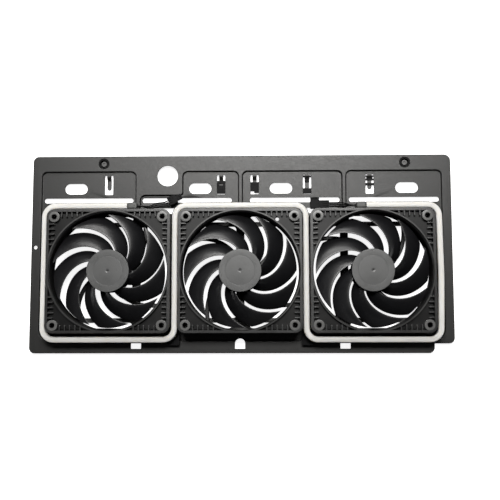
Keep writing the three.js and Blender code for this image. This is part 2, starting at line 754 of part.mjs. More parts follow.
let screwNumber = 0;
for (let fan = 0; fan < 3; fan++) {
  for (const [sx, sy] of [[-1, -1], [1, -1], [-1, 1], [1, 1]]) {
    screwNumber += 1;
    const screw = addMesh(object, `fan_screw_${screwNumber}`, makeFanScrew(), BLACK_STEEL);
    screw.position.x = (fan - 1) * FAN_PITCH + sx * SCREW_SPACING / 2;
    screw.position.y = FAN_ROW_Y + sy * SCREW_SPACING / 2;
  }
}

// ---------- light strip ----------

const STRIP_HIGH = FAN_ROW_Y + 64.2;
const STRIP_LOW = FAN_ROW_Y - 66.2;
const LEG_IN = FAN_PITCH / 2;
const LEG_OUT = FAN_PITCH * 1.5;
const STRIP_START_X = -110.9;
const STRIP_END_X = 123;
const SEAM_Y = STRIP_HIGH - 30;

const stripTop = FLOOR + STRIP.top;
const stripUnder = stripTop - STRIP.height;
const channelFloor = stripUnder - 1;
const channelTop = stripTop - 3;

// The strip's line from its left end to its right end. The last leg bows out a little.
const stripCorners = [
  [STRIP_START_X, STRIP_HIGH],
  [-LEG_OUT, STRIP_HIGH],
  [-LEG_OUT, STRIP_LOW],
  [-LEG_IN, STRIP_LOW],
  [-LEG_IN, STRIP_HIGH],
  [LEG_IN, STRIP_HIGH],
  [LEG_IN, STRIP_LOW],
  [LEG_OUT + 0.8, STRIP_LOW],
  [LEG_OUT + 2.2, FAN_ROW_Y - 5, STRIP.bowR],
  [LEG_OUT + 1.2, STRIP_HIGH],
  [STRIP_END_X, STRIP_HIGH],
];

const stripLine = rounded(stripCorners, STRIP.bendR);
addMesh(object, 'light_strip', loft([
  { points: band(stripLine, STRIP.width), z: stripUnder },
  { points: band(stripLine, STRIP.width), z: stripTop - STRIP.edge },
  { points: band(stripLine, STRIP.width - 2 * STRIP.edge), z: stripTop },
]), SILICONE);
const tape = prism(band(stripLine, TAPE_WIDTH), channelFloor + GAP, stripUnder - GAP);
addMesh(object, 'led_tape', tape, TAPE);

const FOOT = { low: FAN_ROW_Y - 71.8, high: FAN_ROW_Y - 61, height: 5.7, outside: 8, insideX: 59.6 };

function carrier(corners, feet) {
  const line = rounded(corners, STRIP.bendR);
  const low = RIM_TOP + GAP;
  const body = prism(band(line, CARRIER_WIDTH), low, channelTop);
  const blocks = feet.map(([x0, x1]) => (
    prism(rectangle(x0, FOOT.low, x1, FOOT.high, 1), low, low + FOOT.height)
  ));
  const groove = prism(band(line, STRIP.width + 2 * GAP), channelFloor, channelTop + 1);
  return cut(join([body, ...blocks]), [groove]);
}

addMesh(object, 'strip_carrier_left', carrier(
  [...stripCorners.slice(0, 4), [-LEG_IN, SEAM_Y]],
  [[-LEG_IN - FOOT.outside, -FOOT.insideX]],
), CARRIER_PLASTIC);
addMesh(object, 'strip_carrier_middle', carrier(
  [[-LEG_IN, SEAM_Y + GAP], ...stripCorners.slice(4, 6), [LEG_IN, SEAM_Y + GAP]],
  [],
), CARRIER_PLASTIC);
addMesh(object, 'strip_carrier_right', carrier(
  [[LEG_IN, SEAM_Y], ...stripCorners.slice(6)],
  [[FOOT.insideX, LEG_IN + FOOT.outside]],
), CARRIER_PLASTIC);

const CAP = { length: 9.8, low: 6, proud: 0.4, edge: 0.8, inset: 0.4 };

function endCap(x0, x1) {
  const half = CARRIER_WIDTH / 2 - CAP.inset;
  const levels = [
    [channelFloor - CAP.low, 0],
    [stripTop + CAP.proud - CAP.edge, 0],
    [stripTop + CAP.proud, -CAP.edge],
  ];
  return loft(levels.map(([z, outset]) => ({
    points: outline([
      [x0, STRIP_HIGH - half, 1],
      [x1, STRIP_HIGH - half, 1],
      [x1, STRIP_HIGH + half, 1],
      [x0, STRIP_HIGH + half, 1],
    ], outset, 2),
    z,
  })));
}

addMesh(object, 'strip_end_cap_left', endCap(STRIP_START_X + GAP, STRIP_START_X + CAP.length), CAP_PLASTIC);
addMesh(object, 'strip_end_cap_right', endCap(STRIP_END_X - CAP.length, STRIP_END_X - GAP), CAP_PLASTIC);

// ---------- leads and their connectors ----------

const PLUG = {
  bodyEnd: 8.6,
  bodyHalf: 4.3,
  height: 5.4,
  noseEnd: 13.9,
  noseHalf: 2.7,
  noseLow: 1,
  noseHigh: 4.4,
};
const SOCKET = {
  bodyEnd: 10.4,
  bodyHalf: 3.8,
  bodyHeight: 4.6,
  collarStart: 10,
  collarEnd: 18.6,
  collarHalf: 4.4,
  collarHeight: 5.4,
  mouthStart: 13,
  wall: 1,
  latchY: 5.6,
  latchHalf: 1.4,
  latchLow: 1.2,
  latchHigh: 4.2,
};
const CONNECTOR_EDGE = 0.5;

// Both connectors lie along +X, with their wires entering at the origin.
function makePlug() {
  const { bodyEnd, bodyHalf, height, noseEnd, noseHalf, noseLow, noseHigh } = PLUG;
  const body = prism(rectangle(0, -bodyHalf, bodyEnd, bodyHalf, CONNECTOR_EDGE), 0, height);
  const nose = prism(rectangle(bodyEnd - 1, -noseHalf, noseEnd, noseHalf, CONNECTOR_EDGE), noseLow, noseHigh);
  return join([body, nose]);
}

function makeSocket() {
  const s = SOCKET;
  const mouthHalf = s.collarHalf - s.wall;
  const body = prism(rectangle(0, -s.bodyHalf, s.bodyEnd, s.bodyHalf, CONNECTOR_EDGE), 0, s.bodyHeight);
  const collar = prism(
    rectangle(s.collarStart, -s.collarHalf, s.collarEnd, s.collarHalf, CONNECTOR_EDGE),
    0,
    s.collarHeight,
  );
  const latch = prism(
    rectangle(s.collarStart, -s.latchY - s.latchHalf, s.collarEnd, -s.latchY + s.latchHalf, CONNECTOR_EDGE),
    s.latchLow,
    s.latchHigh,
  );
  const mouth = prism(
    rectangle(s.mouthStart, -mouthHalf, s.collarEnd + 1, mouthHalf),
    s.wall,
    s.collarHeight - s.wall,
  );
  return cut(join([body, collar, latch]), [mouth]);
}

function wire(points) {
  const section = new THREE.Shape(circle(0, 0, WIRE_R, 8));
  const path = new THREE.CatmullRomCurve3(points.map((p) => new THREE.Vector3(...p)));
  const steps = Math.round(path.getLength() / (5 * WIRE_R));
  return new THREE.ExtrudeGeometry(section, { steps, extrudePath: path, bevelEnabled: false });
}

const LEAD = {
  startDrop: 3.2,                     // from the strip's top to the leads at the cap
  endRise: 2.3,                       // from the connector's underside to the leads in it
  straight: 3.5,                      // how far a lead runs straight out of the cap or the connector
  bendAt: 0.41,                       // where the bends are, as a part of the way
};
const CONNECTORS = [
  {
    side: 'left',
    make: makePlug,
    tilt: 25,
    x: -71.6,
    y: FAN_ROW_Y + 69.5,
    z: RIM_TOP + GAP,
    capX: STRIP_START_X + CAP.length,
    bendY: [-1.2, -2.9],              // of the first bend from the start, of the second from the end
  },
  {
    side: 'right',
    make: makeSocket,
    tilt: 180,
    x: 87.7,
    y: FAN_ROW_Y + 67,
    z: FLOOR + GAP,
    capX: STRIP_END_X - CAP.length,
    bendY: [0.6, -0.3],
  },
];

for (const { side, make, tilt, x, y, z, capX, bendY } of CONNECTORS) {
  const connector = addMesh(object, `connector_${side}`, make(), CARRIER_PLASTIC);
  connector.position.set(x, y, z);
  connector.rotation.z = THREE.MathUtils.degToRad(tilt);
  const heading = new THREE.Vector2(1, 0).rotateAround(new THREE.Vector2(), connector.rotation.z);
  const across = new THREE.Vector2(-heading.y, heading.x);
  const away = Math.sign(x - capX);
  for (const [i, core] of ['power', 'data', 'ground'].entries()) {
    // The leads leave the cap one above another and enter the connector side by side.
    const offset = (1 - i) * WIRE_SPACING;
    const startZ = stripTop - LEAD.startDrop;
    const start = [capX + away * GAP, STRIP_HIGH, startZ + offset];
    const end = [
      x - heading.x * GAP + across.x * offset * away,
      y - heading.y * GAP + across.y * offset * away,
      z + LEAD.endRise,
    ];
    const bend = Math.abs(end[0] - start[0]) * LEAD.bendAt;
    const lead = [
      start,
      [start[0] + away * LEAD.straight, start[1], start[2] - 0.2],
      [start[0] + away * bend, start[1] + bendY[0] + 0.75 * offset, startZ - 2 + 0.75 * offset],
      [end[0] - away * bend, end[1] + bendY[1], end[2] + 1.2 + 0.3 * offset],
      [end[0] - heading.x * LEAD.straight, end[1] - heading.y * LEAD.straight, end[2] + 0.1],
      end,
    ];
    addMesh(object, `${side}_lead_${core}`, wire(lead), WIRE_COVER);
  }
}

export default object;
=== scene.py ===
import math

import bmesh
import bpy
import numpy as np
from mathutils import Matrix, Vector


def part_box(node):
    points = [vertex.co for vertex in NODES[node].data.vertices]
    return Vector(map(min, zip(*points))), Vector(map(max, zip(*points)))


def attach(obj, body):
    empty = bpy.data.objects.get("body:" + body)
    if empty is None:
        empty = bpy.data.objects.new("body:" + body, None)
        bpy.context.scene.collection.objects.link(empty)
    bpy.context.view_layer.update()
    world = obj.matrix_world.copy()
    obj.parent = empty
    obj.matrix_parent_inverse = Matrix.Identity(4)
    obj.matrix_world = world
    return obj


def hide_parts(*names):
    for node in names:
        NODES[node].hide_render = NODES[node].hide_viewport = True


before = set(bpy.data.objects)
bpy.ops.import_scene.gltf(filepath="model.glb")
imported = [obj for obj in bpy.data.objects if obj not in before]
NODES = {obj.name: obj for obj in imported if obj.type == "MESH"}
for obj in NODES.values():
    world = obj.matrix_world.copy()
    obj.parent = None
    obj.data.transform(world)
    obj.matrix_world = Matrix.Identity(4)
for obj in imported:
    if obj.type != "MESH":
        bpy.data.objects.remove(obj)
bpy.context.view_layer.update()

MM = 0.001


def corner_mm(node):
    """The lowest and highest corner of a CAD node in millimetres."""
    low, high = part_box(node)
    return low / MM, high / MM


# ---------- where things are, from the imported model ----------

TRAY_LOW, TRAY_HIGH = corner_mm("tray_plate")
FAN_BOXES = [corner_mm(f"fan_{i}_frame") for i in (1, 2, 3)]
FAN_CENTRES = [(low + high) / 2 for low, high in FAN_BOXES]
FAN_BACK = FAN_BOXES[0][0].z
FAN_ROW_Y = FAN_CENTRES[0].y
FAN_PITCH = FAN_CENTRES[1].x - FAN_CENTRES[0].x
FAN_DEPTH = FAN_BOXES[0][1].z - FAN_BACK

# ---------- camera ----------

CAMERA_PLACE = (0.0267, -0.0749, 0.7933)
CAMERA_TURN = (5.661, 1.286, -0.089)  # degrees about x, y and z
LENS_MM = 57.6
SENSOR_MM = 36

camera = bpy.data.objects.new("camera", bpy.data.cameras.new("camera"))
bpy.context.scene.collection.objects.link(camera)
camera.data.lens = LENS_MM
camera.data.sensor_width = SENSOR_MM
camera.data.clip_end = 20
camera.location = CAMERA_PLACE
camera.rotation_euler = [math.radians(a) for a in CAMERA_TURN]
bpy.context.scene.camera = camera

# ---------- materials ----------


class Look:
    """A Principled material with procedural detail in object coordinates."""

    def __init__(self, name, color, roughness, **sockets):
        self.material = bpy.data.materials.new(name)
        self.material.use_nodes = True
        self.tree = self.material.node_tree
        self.shader = self.tree.nodes["Principled BSDF"]
        self.shader.inputs["Base Color"].default_value = (*color, 1)
        self.shader.inputs["Roughness"].default_value = roughness
        for key, value in sockets.items():
            self.shader.inputs[key.replace("_", " ")].default_value = value
        self.color = color
        self.roughness = roughness
        self.place = self.tree.nodes.new("ShaderNodeTexCoord").outputs["Object"]

    def node(self, kind, **inputs):
        made = self.tree.nodes.new(kind)
        for key, value in inputs.items():
            made.inputs[key.replace("_", " ")].default_value = value
        return made

    def link(self, output, target):
        self.tree.links.new(output, target)

    def noise(self, per_mm, detail=3.0, stretch=None):
        """Noise with about per_mm cells to a millimetre."""
        noise = self.node("ShaderNodeTexNoise", Scale=per_mm / MM, Detail=detail)
        source = self.place
        if stretch:
            mapping = self.node("ShaderNodeMapping", Scale=stretch)
            self.link(source, mapping.inputs["Vector"])
            source = mapping.outputs["Vector"]
        self.link(source, noise.inputs["Vector"])
        return noise.outputs["Fac"]

    def remap(self, value, low, high, start=0.3, stop=0.7):
        """Stretches the start to stop part of a value over low to high."""
        span = self.node("ShaderNodeMapRange")
        sockets = ("From Min", "From Max", "To Min", "To Max")
        for key, number in zip(sockets, (start, stop, low, high)):
            span.inputs[key].default_value = number
        self.link(value, span.inputs["Value"])
        return span.outputs["Result"]

    def vary_color(self, value, darker, lighter):
        mix = self.tree.nodes.new("ShaderNodeMix")
        mix.data_type = "RGBA"
        mix.inputs["A"].default_value = (*[c * darker for c in self.color], 1)
        mix.inputs["B"].default_value = (*[min(1, c * lighter) for c in self.color], 1)
        self.link(self.remap(value, 0, 1), mix.inputs["Factor"])
        self.link(mix.outputs["Result"], self.shader.inputs["Base Color"])
        return self

    def vary_roughness(self, value, change):
        low, high = self.roughness - change, self.roughness + change
        self.link(self.remap(value, low, high), self.shader.inputs["Roughness"])
        return self

    def bump(self, value, height_mm):
        bump = self.node("ShaderNodeBump", Strength=1.0, Distance=height_mm * MM)
        self.link(value, bump.inputs["Height"])
        self.link(bump.outputs["Normal"], self.shader.inputs["Normal"])
        return self


def plastic(name, color, roughness, grain_mm=0.35, height_mm=0.012, **sockets):
    """Moulded plastic: a faint cloud in its tone and gloss, and a fine grain."""
    look = Look(name, color, roughness, **sockets)
    cloud = look.noise(per_mm=0.05)
    grain = look.noise(per_mm=1 / grain_mm, detail=2.0)
    look.vary_color(cloud, darker=0.88, lighter=1.12)
    look.vary_roughness(cloud, change=0.05)
    look.bump(grain, height_mm)
    return look.material


def metal(name, color, roughness, stretch, **sockets):
    """Turned or drawn metal, with its marks drawn out by stretch."""
    look = Look(name, color, roughness, Metallic=1.0, **sockets)
    marks = look.noise(per_mm=1.2, detail=3.0, stretch=stretch)
    look.vary_color(marks, darker=0.8, lighter=1.15)
    look.vary_roughness(marks, change=0.08)
    look.bump(marks, height_mm=0.006)
    return look.material


def powder_coat():
    """The sheet's satin black coat, with the slight orange peel of powder."""
    look = Look("powder_coat", (0.0085, 0.0085, 0.008), 0.43, Specular_IOR_Level=0.48)
    cloud = look.noise(per_mm=0.02)
    peel = look.noise(per_mm=0.9, detail=2.0)
    look.vary_color(cloud, darker=0.9, lighter=1.1)
    look.vary_roughness(peel, change=0.06)
    look.bump(peel, height_mm=0.02)
    return look.material


def silicone():
    """The light strip's milky tube, which lets light spread under its surface."""
    look = Look("silicone", (0.66, 0.65, 0.625), 0.45, Subsurface_Weight=0.7, Subsurface_Scale=0.005)
    look.shader.inputs["Subsurface Radius"].default_value = (1.0, 0.95, 0.85)
    cloud = look.noise(per_mm=0.06)
    grain = look.noise(per_mm=1.6, detail=2.0)
    look.vary_color(cloud, darker=0.96, lighter=1.03)
    look.vary_roughness(cloud, change=0.06)
    look.bump(grain, height_mm=0.008)
    return look.material


def floor_material():
    """A white ground that gives off light to the camera, as a lit backdrop does."""
    material = bpy.data.materials.new("floor")
    material.use_nodes = True
    shader = material.node_tree.nodes["Principled BSDF"]
    shader.inputs["Base Color"].default_value = (0.9, 0.9, 0.9, 1)
    shader.inputs["Roughness"].default_value = 0.9
    shader.inputs["Emission Color"].default_value = (1, 1, 1, 1)
    shader.inputs["Emission Strength"].default_value = 0.9
    return material


POWDER_COAT = powder_coat()
FRAME_PLASTIC = plastic("frame_plastic", (0.009, 0.009, 0.009), 0.38, Specular_IOR_Level=0.55)
# A darker copy of the frame plastic for the sunken web: painted shade.
WEB_SHADE_PLASTIC = plastic("web_painted_shade", (0.0025, 0.0025, 0.0025), 0.38, Specular_IOR_Level=0.26)
# A lighter copy of the frame plastic for the ring's flat top: a painted highlight.
LIP_HIGHLIGHT_PLASTIC = plastic("lip_painted_highlight", (0.035, 0.035, 0.034), 0.32, grain_mm=0.2, height_mm=0.006)
PAD_PLASTIC = plastic("pad_plastic", (0.10, 0.10, 0.098), 0.27)
BLADE_PLASTIC = plastic("blade_plastic", (0.008, 0.008, 0.009), 0.36, grain_mm=0.6, height_mm=0.006)
HUB_PLASTIC = plastic("hub_plastic", (0.066, 0.067, 0.067), 0.40, grain_mm=0.3, height_mm=0.008)
BLACK_PLASTIC = plastic("black_plastic", (0.005, 0.005, 0.0055), 0.5, Specular_IOR_Level=0.08)
CAP_PLASTIC = plastic("cap_plastic", (0.055, 0.057, 0.055), 0.5)
WIRE_COVER = plastic(
    "wire_cover", (0.004, 0.004, 0.0045), 0.4, grain_mm=0.5, height_mm=0.004, Specular_IOR_Level=0.3)
SILICONE = silicone()
TAPE = plastic("tape", (0.62, 0.60, 0.53), 0.55)
FERRITE = plastic("ferrite", (0.045, 0.04, 0.037), 0.7)
BOARD = plastic("board", (0.02, 0.08, 0.04), 0.4)
BLACK_STEEL = metal("black_steel", (0.06, 0.06, 0.06), 0.36, stretch=(1, 1, 8))
DARK_STEEL = metal("dark_steel", (0.065, 0.065, 0.065), 0.45, stretch=(1, 1, 8))
BRIGHT_STEEL = metal("bright_steel", (0.52, 0.52, 0.51), 0.3, stretch=(1, 1, 12))
COPPER = metal("copper", (0.55, 0.16, 0.06), 0.35, stretch=(1, 1, 14))
BRONZE = metal("bronze", (0.50, 0.33, 0.11), 0.4, stretch=(1, 1, 10))

# ---------- cords: the light strip's six leads ----------

# Each side's connector: where its back end is, how far it is turned, and how high the leads go in.
CONNECTORS = {
    "left": {"place": (-71.6, 51.0, 6.4), "tilt": 25, "wires_z": 8.7},
    "right": {"place": (87.7, 48.5, 4.0), "tilt": 180, "wires_z": 6.3},
}
# Where each side's leads leave their end cap, and how far the two bends are pulled along y.
LEADS = {
    "left": {"start": (-101.1, 45.7, 18.5), "pulls": (-1.2, -2.9)},
    "right": {"start": (113.2, 45.7, 18.5), "pulls": (0.6, -0.3)},
}
LEAD_CORES = ("power", "data", "ground")
WIRE_MM = 1.3
WIRE_SPACING = 1.65
WIRE_GAP = 0.3  # between a lead and the cap and connector at its ends
WIRE_STRAIGHT = 3.5  # the straight run at each end
BEND_AT = 0.41  # how far from its end each bend is, as a share of the way across
FIRST_BEND = {"drop": 2, "spread": 0.75}
LAST_BEND = {"rise": 1.2, "spread": 0.3}
START_SAG = 0.2
END_RISE = 0.1


def catmull_rom(points, steps):
    """A centripetal Catmull-Rom curve through points."""
    ends = [points[0] * 2 - points[1], *points, points[-1] * 2 - points[-2]]
    curve = []
    for a, b, c, d in zip(ends, ends[1:], ends[2:], ends[3:]):
        t1 = max(math.sqrt((b - a).length), 1e-4)
        t2 = t1 + max(math.sqrt((c - b).length), 1e-4)
        t3 = t2 + max(math.sqrt((d - c).length), 1e-4)
        for k in range(steps):
            t = t1 + (t2 - t1) * k / steps
            ab = a * ((t1 - t) / t1) + b * (t / t1)
            bc = b * ((t2 - t) / (t2 - t1)) + c * ((t - t1) / (t2 - t1))
            cd = c * ((t3 - t) / (t3 - t2)) + d * ((t - t2) / (t3 - t2))
            abc = ab * ((t2 - t) / t2) + bc * (t / t2)
            bcd = bc * ((t3 - t) / (t3 - t1)) + cd * ((t - t1) / (t3 - t1))
            curve.append(abc * ((t2 - t) / (t2 - t1)) + bcd * ((t - t1) / (t2 - t1)))
    curve.append(points[-1].copy())
    return curve


def lead_points(start, connector, pulls, core):
    """One lead's route in millimetres, from its end cap, where the leads leave one above another,
    to its connector, where they enter side by side."""
    plug_x, plug_y, _ = connector["place"]
    tilt = math.radians(connector["tilt"])
    away = math.copysign(1, plug_x - start[0])
    heading = Vector((math.cos(tilt), math.sin(tilt)))
    offset = (1 - core) * WIRE_SPACING
    x0, y0, z0 = start[0] + away * WIRE_GAP, start[1], start[2]
    x1 = plug_x - heading.x * WIRE_GAP - heading.y * offset * away
    y1 = plug_y - heading.y * WIRE_GAP + heading.x * offset * away
    z1 = connector["wires_z"]
    bend = abs(x1 - x0) * BEND_AT
    first, last = FIRST_BEND["spread"] * offset, LAST_BEND["spread"] * offset
    return [Vector(p) for p in (
        (x0, y0, z0 + offset),
        (x0 + away * WIRE_STRAIGHT, y0, z0 + offset - START_SAG),
        (x0 + away * bend, y0 + pulls[0] + first, z0 - FIRST_BEND["drop"] + first),
        (x1 - away * bend, y1 + pulls[1], z1 + LAST_BEND["rise"] + last),
        (x1 - heading.x * WIRE_STRAIGHT, y1 - heading.y * WIRE_STRAIGHT, z1 + END_RISE),
        (x1, y1, z1),
    )]


def make_lead(name, route):
    """A wire along a route in metres."""
    data = bpy.data.curves.new(name, "CURVE")
    data.dimensions = "3D"
    data.bevel_depth = WIRE_MM * MM / 2
    data.bevel_resolution = 4
    data.use_fill_caps = True
    spline = data.splines.new("POLY")
    spline.points.add(len(route) - 1)
    for point, place in zip(spline.points, route):
        point.co = (*place, 1)
    data.materials.append(WIRE_COVER)
    lead = bpy.data.objects.new(name, data)
    bpy.context.scene.collection.objects.link(lead)
    return lead


def add_leads():
    """Makes the leads, names each for its core, and hides the CAD leads that they replace."""
    for side, lead_from in LEADS.items():
        for core, word in enumerate(LEAD_CORES):
            points = lead_points(lead_from["start"], CONNECTORS[side], lead_from["pulls"], core)
            route = [p * MM for p in catmull_rom(points, steps=6)]
            lead = make_lead(f"lead_{side}_{word}", route)
            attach(lead, "tray")
            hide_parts(f"{side}_lead_{word}")


# ---------- solids in mesh code ----------

EDGE_KNEE = 0.3  # an edge is rounded in two facets, which meet this share of it in from the corner


def flat(points):
    return [Vector((p[0], p[1])) for p in points]


def turned_by(v, angle):
    c, s = math.cos(angle), math.sin(angle)
    return Vector((v.x * c - v.y * s, v.x * s + v.y * c))


def outline(corners, outset=0.0, steps=6):
    """A closed line through corners (x, y, radius), with its edges moved out by outset."""
    points = []
    for i, (x, y, radius) in enumerate(corners):
        here = Vector((x, y))
        before = Vector(corners[i - 1][:2])
        after = Vector(corners[(i + 1) % len(corners)][:2])
        into, away = (here - before).normalized(), (after - here).normalized()
        turn = math.atan2(into.x * away.y - into.y * away.x, into.dot(away))
        side = math.copysign(1, turn)
        n_in, n_out = Vector((into.y, -into.x)), Vector((away.y, -away.x))
        corner = here + (n_in + n_out) * (outset / (1 + n_in.dot(n_out)))
        r = radius + side * outset
        start = corner - into * (r * math.tan(abs(turn) / 2))
        centre = start - n_in * (side * r)
        points += [centre + turned_by(start - centre, turn * k / steps) for k in range(steps + 1)]
    return points


def box_corners(x0, y0, x1, y1, radius):
    return [(x0, y0, radius), (x1, y0, radius), (x1, y1, radius), (x0, y1, radius)]


def circle(x, y, radius, steps):
    turns = [2 * math.pi * i / steps for i in range(steps)]
    return [Vector((x + radius * math.cos(a), y + radius * math.sin(a))) for a in turns]


class Shape:
    """Vertices in millimetres and faces, to which closed bodies are added."""

    def __init__(self):
        self.vertices = []
        self.faces = []

    def rings(self, rings, caps=True, close=False):
        """Joins rings of equal point count, in order, and closes the ends with caps or to each other."""
        first, count = len(self.vertices), len(rings[0])
        self.vertices += [tuple(p) for ring in rings for p in ring]
        pairs = len(rings) if close else len(rings) - 1
        for level in range(pairs):
            low = first + level * count
            high = first + (level + 1) % len(rings) * count
            for i in range(count):
                j = (i + 1) % count
                self.faces.append((low + i, low + j, high + j, high + i))
        if caps and not close:
            self.faces.append(tuple(reversed(range(first, first + count))))
            last = first + (len(rings) - 1) * count
            self.faces.append(tuple(range(last, last + count)))
        return self

    def loft(self, levels):
        """levels are (points, z) from the lowest up."""
        return self.rings([[(p[0], p[1], z) for p in points] for points, z in levels])

    def prism(self, points, z0, z1):
        return self.loft([(points, z0), (points, z1)])

    def slab(self, corners, z0, z1, edge=0.25, steps=6):
        """A plate with its upper and its lower edge rounded off."""
        knee = edge * EDGE_KNEE
        full, part, least = (outline(corners, -inset, steps) for inset in (0, knee, edge))
        return self.loft([(least, z0), (part, z0 + knee), (full, z0 + edge),
                          (full, z1 - edge), (part, z1 - knee), (least, z1)])

    def turned(self, profile, steps, x=0.0, y=0.0):
        """A body turned about the vertical through x, y from (radius, z) points, up the outside and down
        the inside. A profile that starts and ends on the axis is closed there."""
        ends = profile[0][0] == 0 and profile[-1][0] == 0
        wall = profile[1:-1] if ends else profile
        turns = [2 * math.pi * i / steps for i in range(steps)]
        rings = [[(x + r * math.cos(a), y + r * math.sin(a), z) for a in turns] for r, z in wall]
        return self.rings(rings, caps=ends, close=not ends)

    def swept(self, line, profile):
        """A profile of (across, z) points pushed along a flat line of points, with square ends."""
        rings = []
        for i, point in enumerate(line):
            into = (point - line[max(i - 1, 0)]).normalized()
            away = (line[min(i + 1, len(line) - 1)] - point).normalized()
            along = (into + away).normalized()
            lean = along.dot(away) if 0 < i < len(line) - 1 else 1.0
            left = Vector((-along.y, along.x)) / lean
            rings.append([(point.x + left.x * a, point.y + left.y * a, z) for a, z in profile])
        return self.rings(rings)

    def object(self, name="solid"):
        data = bpy.data.meshes.new(name)
        data.from_pydata(self.vertices, [], self.faces)
        mesh = bmesh.new()
        mesh.from_mesh(data)
        bmesh.ops.recalc_face_normals(mesh, faces=mesh.faces)
        bmesh.ops.triangulate(mesh, faces=[f for f in mesh.faces if len(f.verts) > 4])
        mesh.to_mesh(data)
        mesh.free()
        made = bpy.data.objects.new(name, data)
        bpy.context.scene.collection.objects.link(made)
        return made


def mirrored(right):
    """A closed (across, z) profile from its right half, listed from the bottom up and inwards."""
    return [*right, *[(-x, z) for x, z in reversed(right)]]


def combine(base, tools, operation):
    """Joins the tools to base, or cuts them from it, and removes them."""
    for tool in tools:
        step = base.modifiers.new("step", "BOOLEAN")
        step.operation = operation
        step.solver = "MANIFOLD"
        step.object = tool
    made = bpy.data.meshes.new_from_object(base.evaluated_get(bpy.context.evaluated_depsgraph_get()))
    base.modifiers.clear()
    base.data = made
    for tool in tools:
        bpy.data.objects.remove(tool)
    return base


def finish_piece(made, name, material, body, nodes, place=(0, 0, 0), smooth=35):
    """Turns a solid in millimetres into a piece in metres that stands for CAD nodes."""
    made.name = made.data.name = name
    made.data.transform(Matrix.Scale(MM, 4))
    made.location = Vector(place) * MM
    mesh = bmesh.new()
    mesh.from_mesh(made.data)
    bmesh.ops.remove_doubles(mesh, verts=mesh.verts, dist=1e-6)
    bmesh.ops.recalc_face_normals(mesh, faces=mesh.faces)
    for face in mesh.faces:
        face.smooth = True
    for edge in mesh.edges:
        edge.smooth = len(edge.link_faces) == 2 and edge.calc_face_angle(0) < math.radians(smooth)
    mesh.to_mesh(made.data)
    mesh.free()
    made.data.materials.clear()
    made.data.materials.append(material)
    even = made.modifiers.new("even_faces", "WEIGHTED_NORMAL")
    even.keep_sharp = True
    even.weight = 80
    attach(made, body)
    if nodes:
        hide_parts(*nodes)
    return made


# ---------- the tray ----------

SHEET = 1.2
PAN_DEPTH = 2.4
RIM_TOP = TRAY_HIGH.z
RIM_UNDER = RIM_TOP - SHEET
FLOOR = RIM_TOP - PAN_DEPTH
PAN_UNDER = FLOOR - SHEET
PANEL_R = 4
PAN_LOW_R = 10
RIB_R = 2.7
OUTER_R = 5.5
UPPER_RIGHT_R = 6.5
NOTCH_R = 0.8
PAN = {"left": -198.4, "right": 198.4, "bottom": FAN_ROW_Y - 66.8, "top": FAN_ROW_Y + 100}
LOW_TOP = FAN_ROW_Y + 76
LOW_END = -57
RIB_END = FAN_ROW_Y + 63
RIBS = [(-105.9, -99.4), (-3.2, 2.6), (99.9, 105.6)]
NOTCH = (19.7, 9.3)

# The pressed pan's edge, counter-clockwise from its lower left corner. Three ribs run down into it.
PAN_CORNERS = [
    (PAN["left"], PAN["bottom"], PAN_LOW_R), (PAN["right"], PAN["bottom"], PAN_LOW_R),
    (PAN["right"], PAN["top"], PANEL_R),
    (RIBS[2][1], PAN["top"], PANEL_R), (RIBS[2][1], RIB_END, RIB_R),
    (RIBS[2][0], RIB_END, RIB_R), (RIBS[2][0], PAN["top"], PANEL_R),
    (RIBS[1][1], PAN["top"], PANEL_R), (RIBS[1][1], RIB_END, RIB_R),
    (RIBS[1][0], RIB_END, RIB_R), (RIBS[1][0], PAN["top"], PANEL_R),
    (LOW_END, PAN["top"], PANEL_R), (LOW_END, LOW_TOP, PANEL_R),
    (RIBS[0][1], LOW_TOP, PANEL_R), (RIBS[0][1], RIB_END, RIB_R),
    (RIBS[0][0], RIB_END, RIB_R), (RIBS[0][0], PAN["top"], PANEL_R),
    (PAN["left"], PAN["top"], PANEL_R),
]
# The same without the ribs, which are grooves on the underside.
BLANK_CORNERS = [
    (PAN["left"], PAN["bottom"], PAN_LOW_R), (PAN["right"], PAN["bottom"], PAN_LOW_R),
    (PAN["right"], PAN["top"], PANEL_R),
    (LOW_END, PAN["top"], PANEL_R), (LOW_END, LOW_TOP, PANEL_R),
    (RIBS[0][0], LOW_TOP, PANEL_R), (RIBS[0][0], PAN["top"], PANEL_R), (PAN["left"], PAN["top"], PANEL_R),
]
EDGE_CORNERS = [
    (TRAY_LOW.x, TRAY_LOW.y, OUTER_R), (TRAY_HIGH.x - NOTCH[0], TRAY_LOW.y, OUTER_R),
    (TRAY_HIGH.x - NOTCH[0], TRAY_LOW.y + NOTCH[1], NOTCH_R),
    (TRAY_HIGH.x, TRAY_LOW.y + NOTCH[1], OUTER_R),
    (TRAY_HIGH.x, TRAY_HIGH.y, UPPER_RIGHT_R), (TRAY_LOW.x, TRAY_HIGH.y, OUTER_R),
]
# The pan wall's section as (distance out from the floor's edge, height above the floor), with round bends.
WALL = [(0.2, 0), (0.45, 0.05), (0.66, 0.2), (0.8, 0.5), (1.15, 1.9), (1.28, 2.2), (1.5, 2.35), (1.75, 2.4)]
WALL_THICK = SHEET * 0.6
WALL_ROOT = (1.95, 0.6)  # where the wall's underside ends: distance out, and depth under the rim's top
# A rib's groove on the underside as (half width, z).
RIB_GROOVE = [(1.7, PAN_UNDER - 1), (1.7, PAN_UNDER), (1.3, PAN_UNDER + 0.8), (0.5, RIM_UNDER - 0.2)]
RIB_GROOVE_INSET = 2
RIB_GROOVE_ROUND = 0.98  # a corner radius as a share of the half width

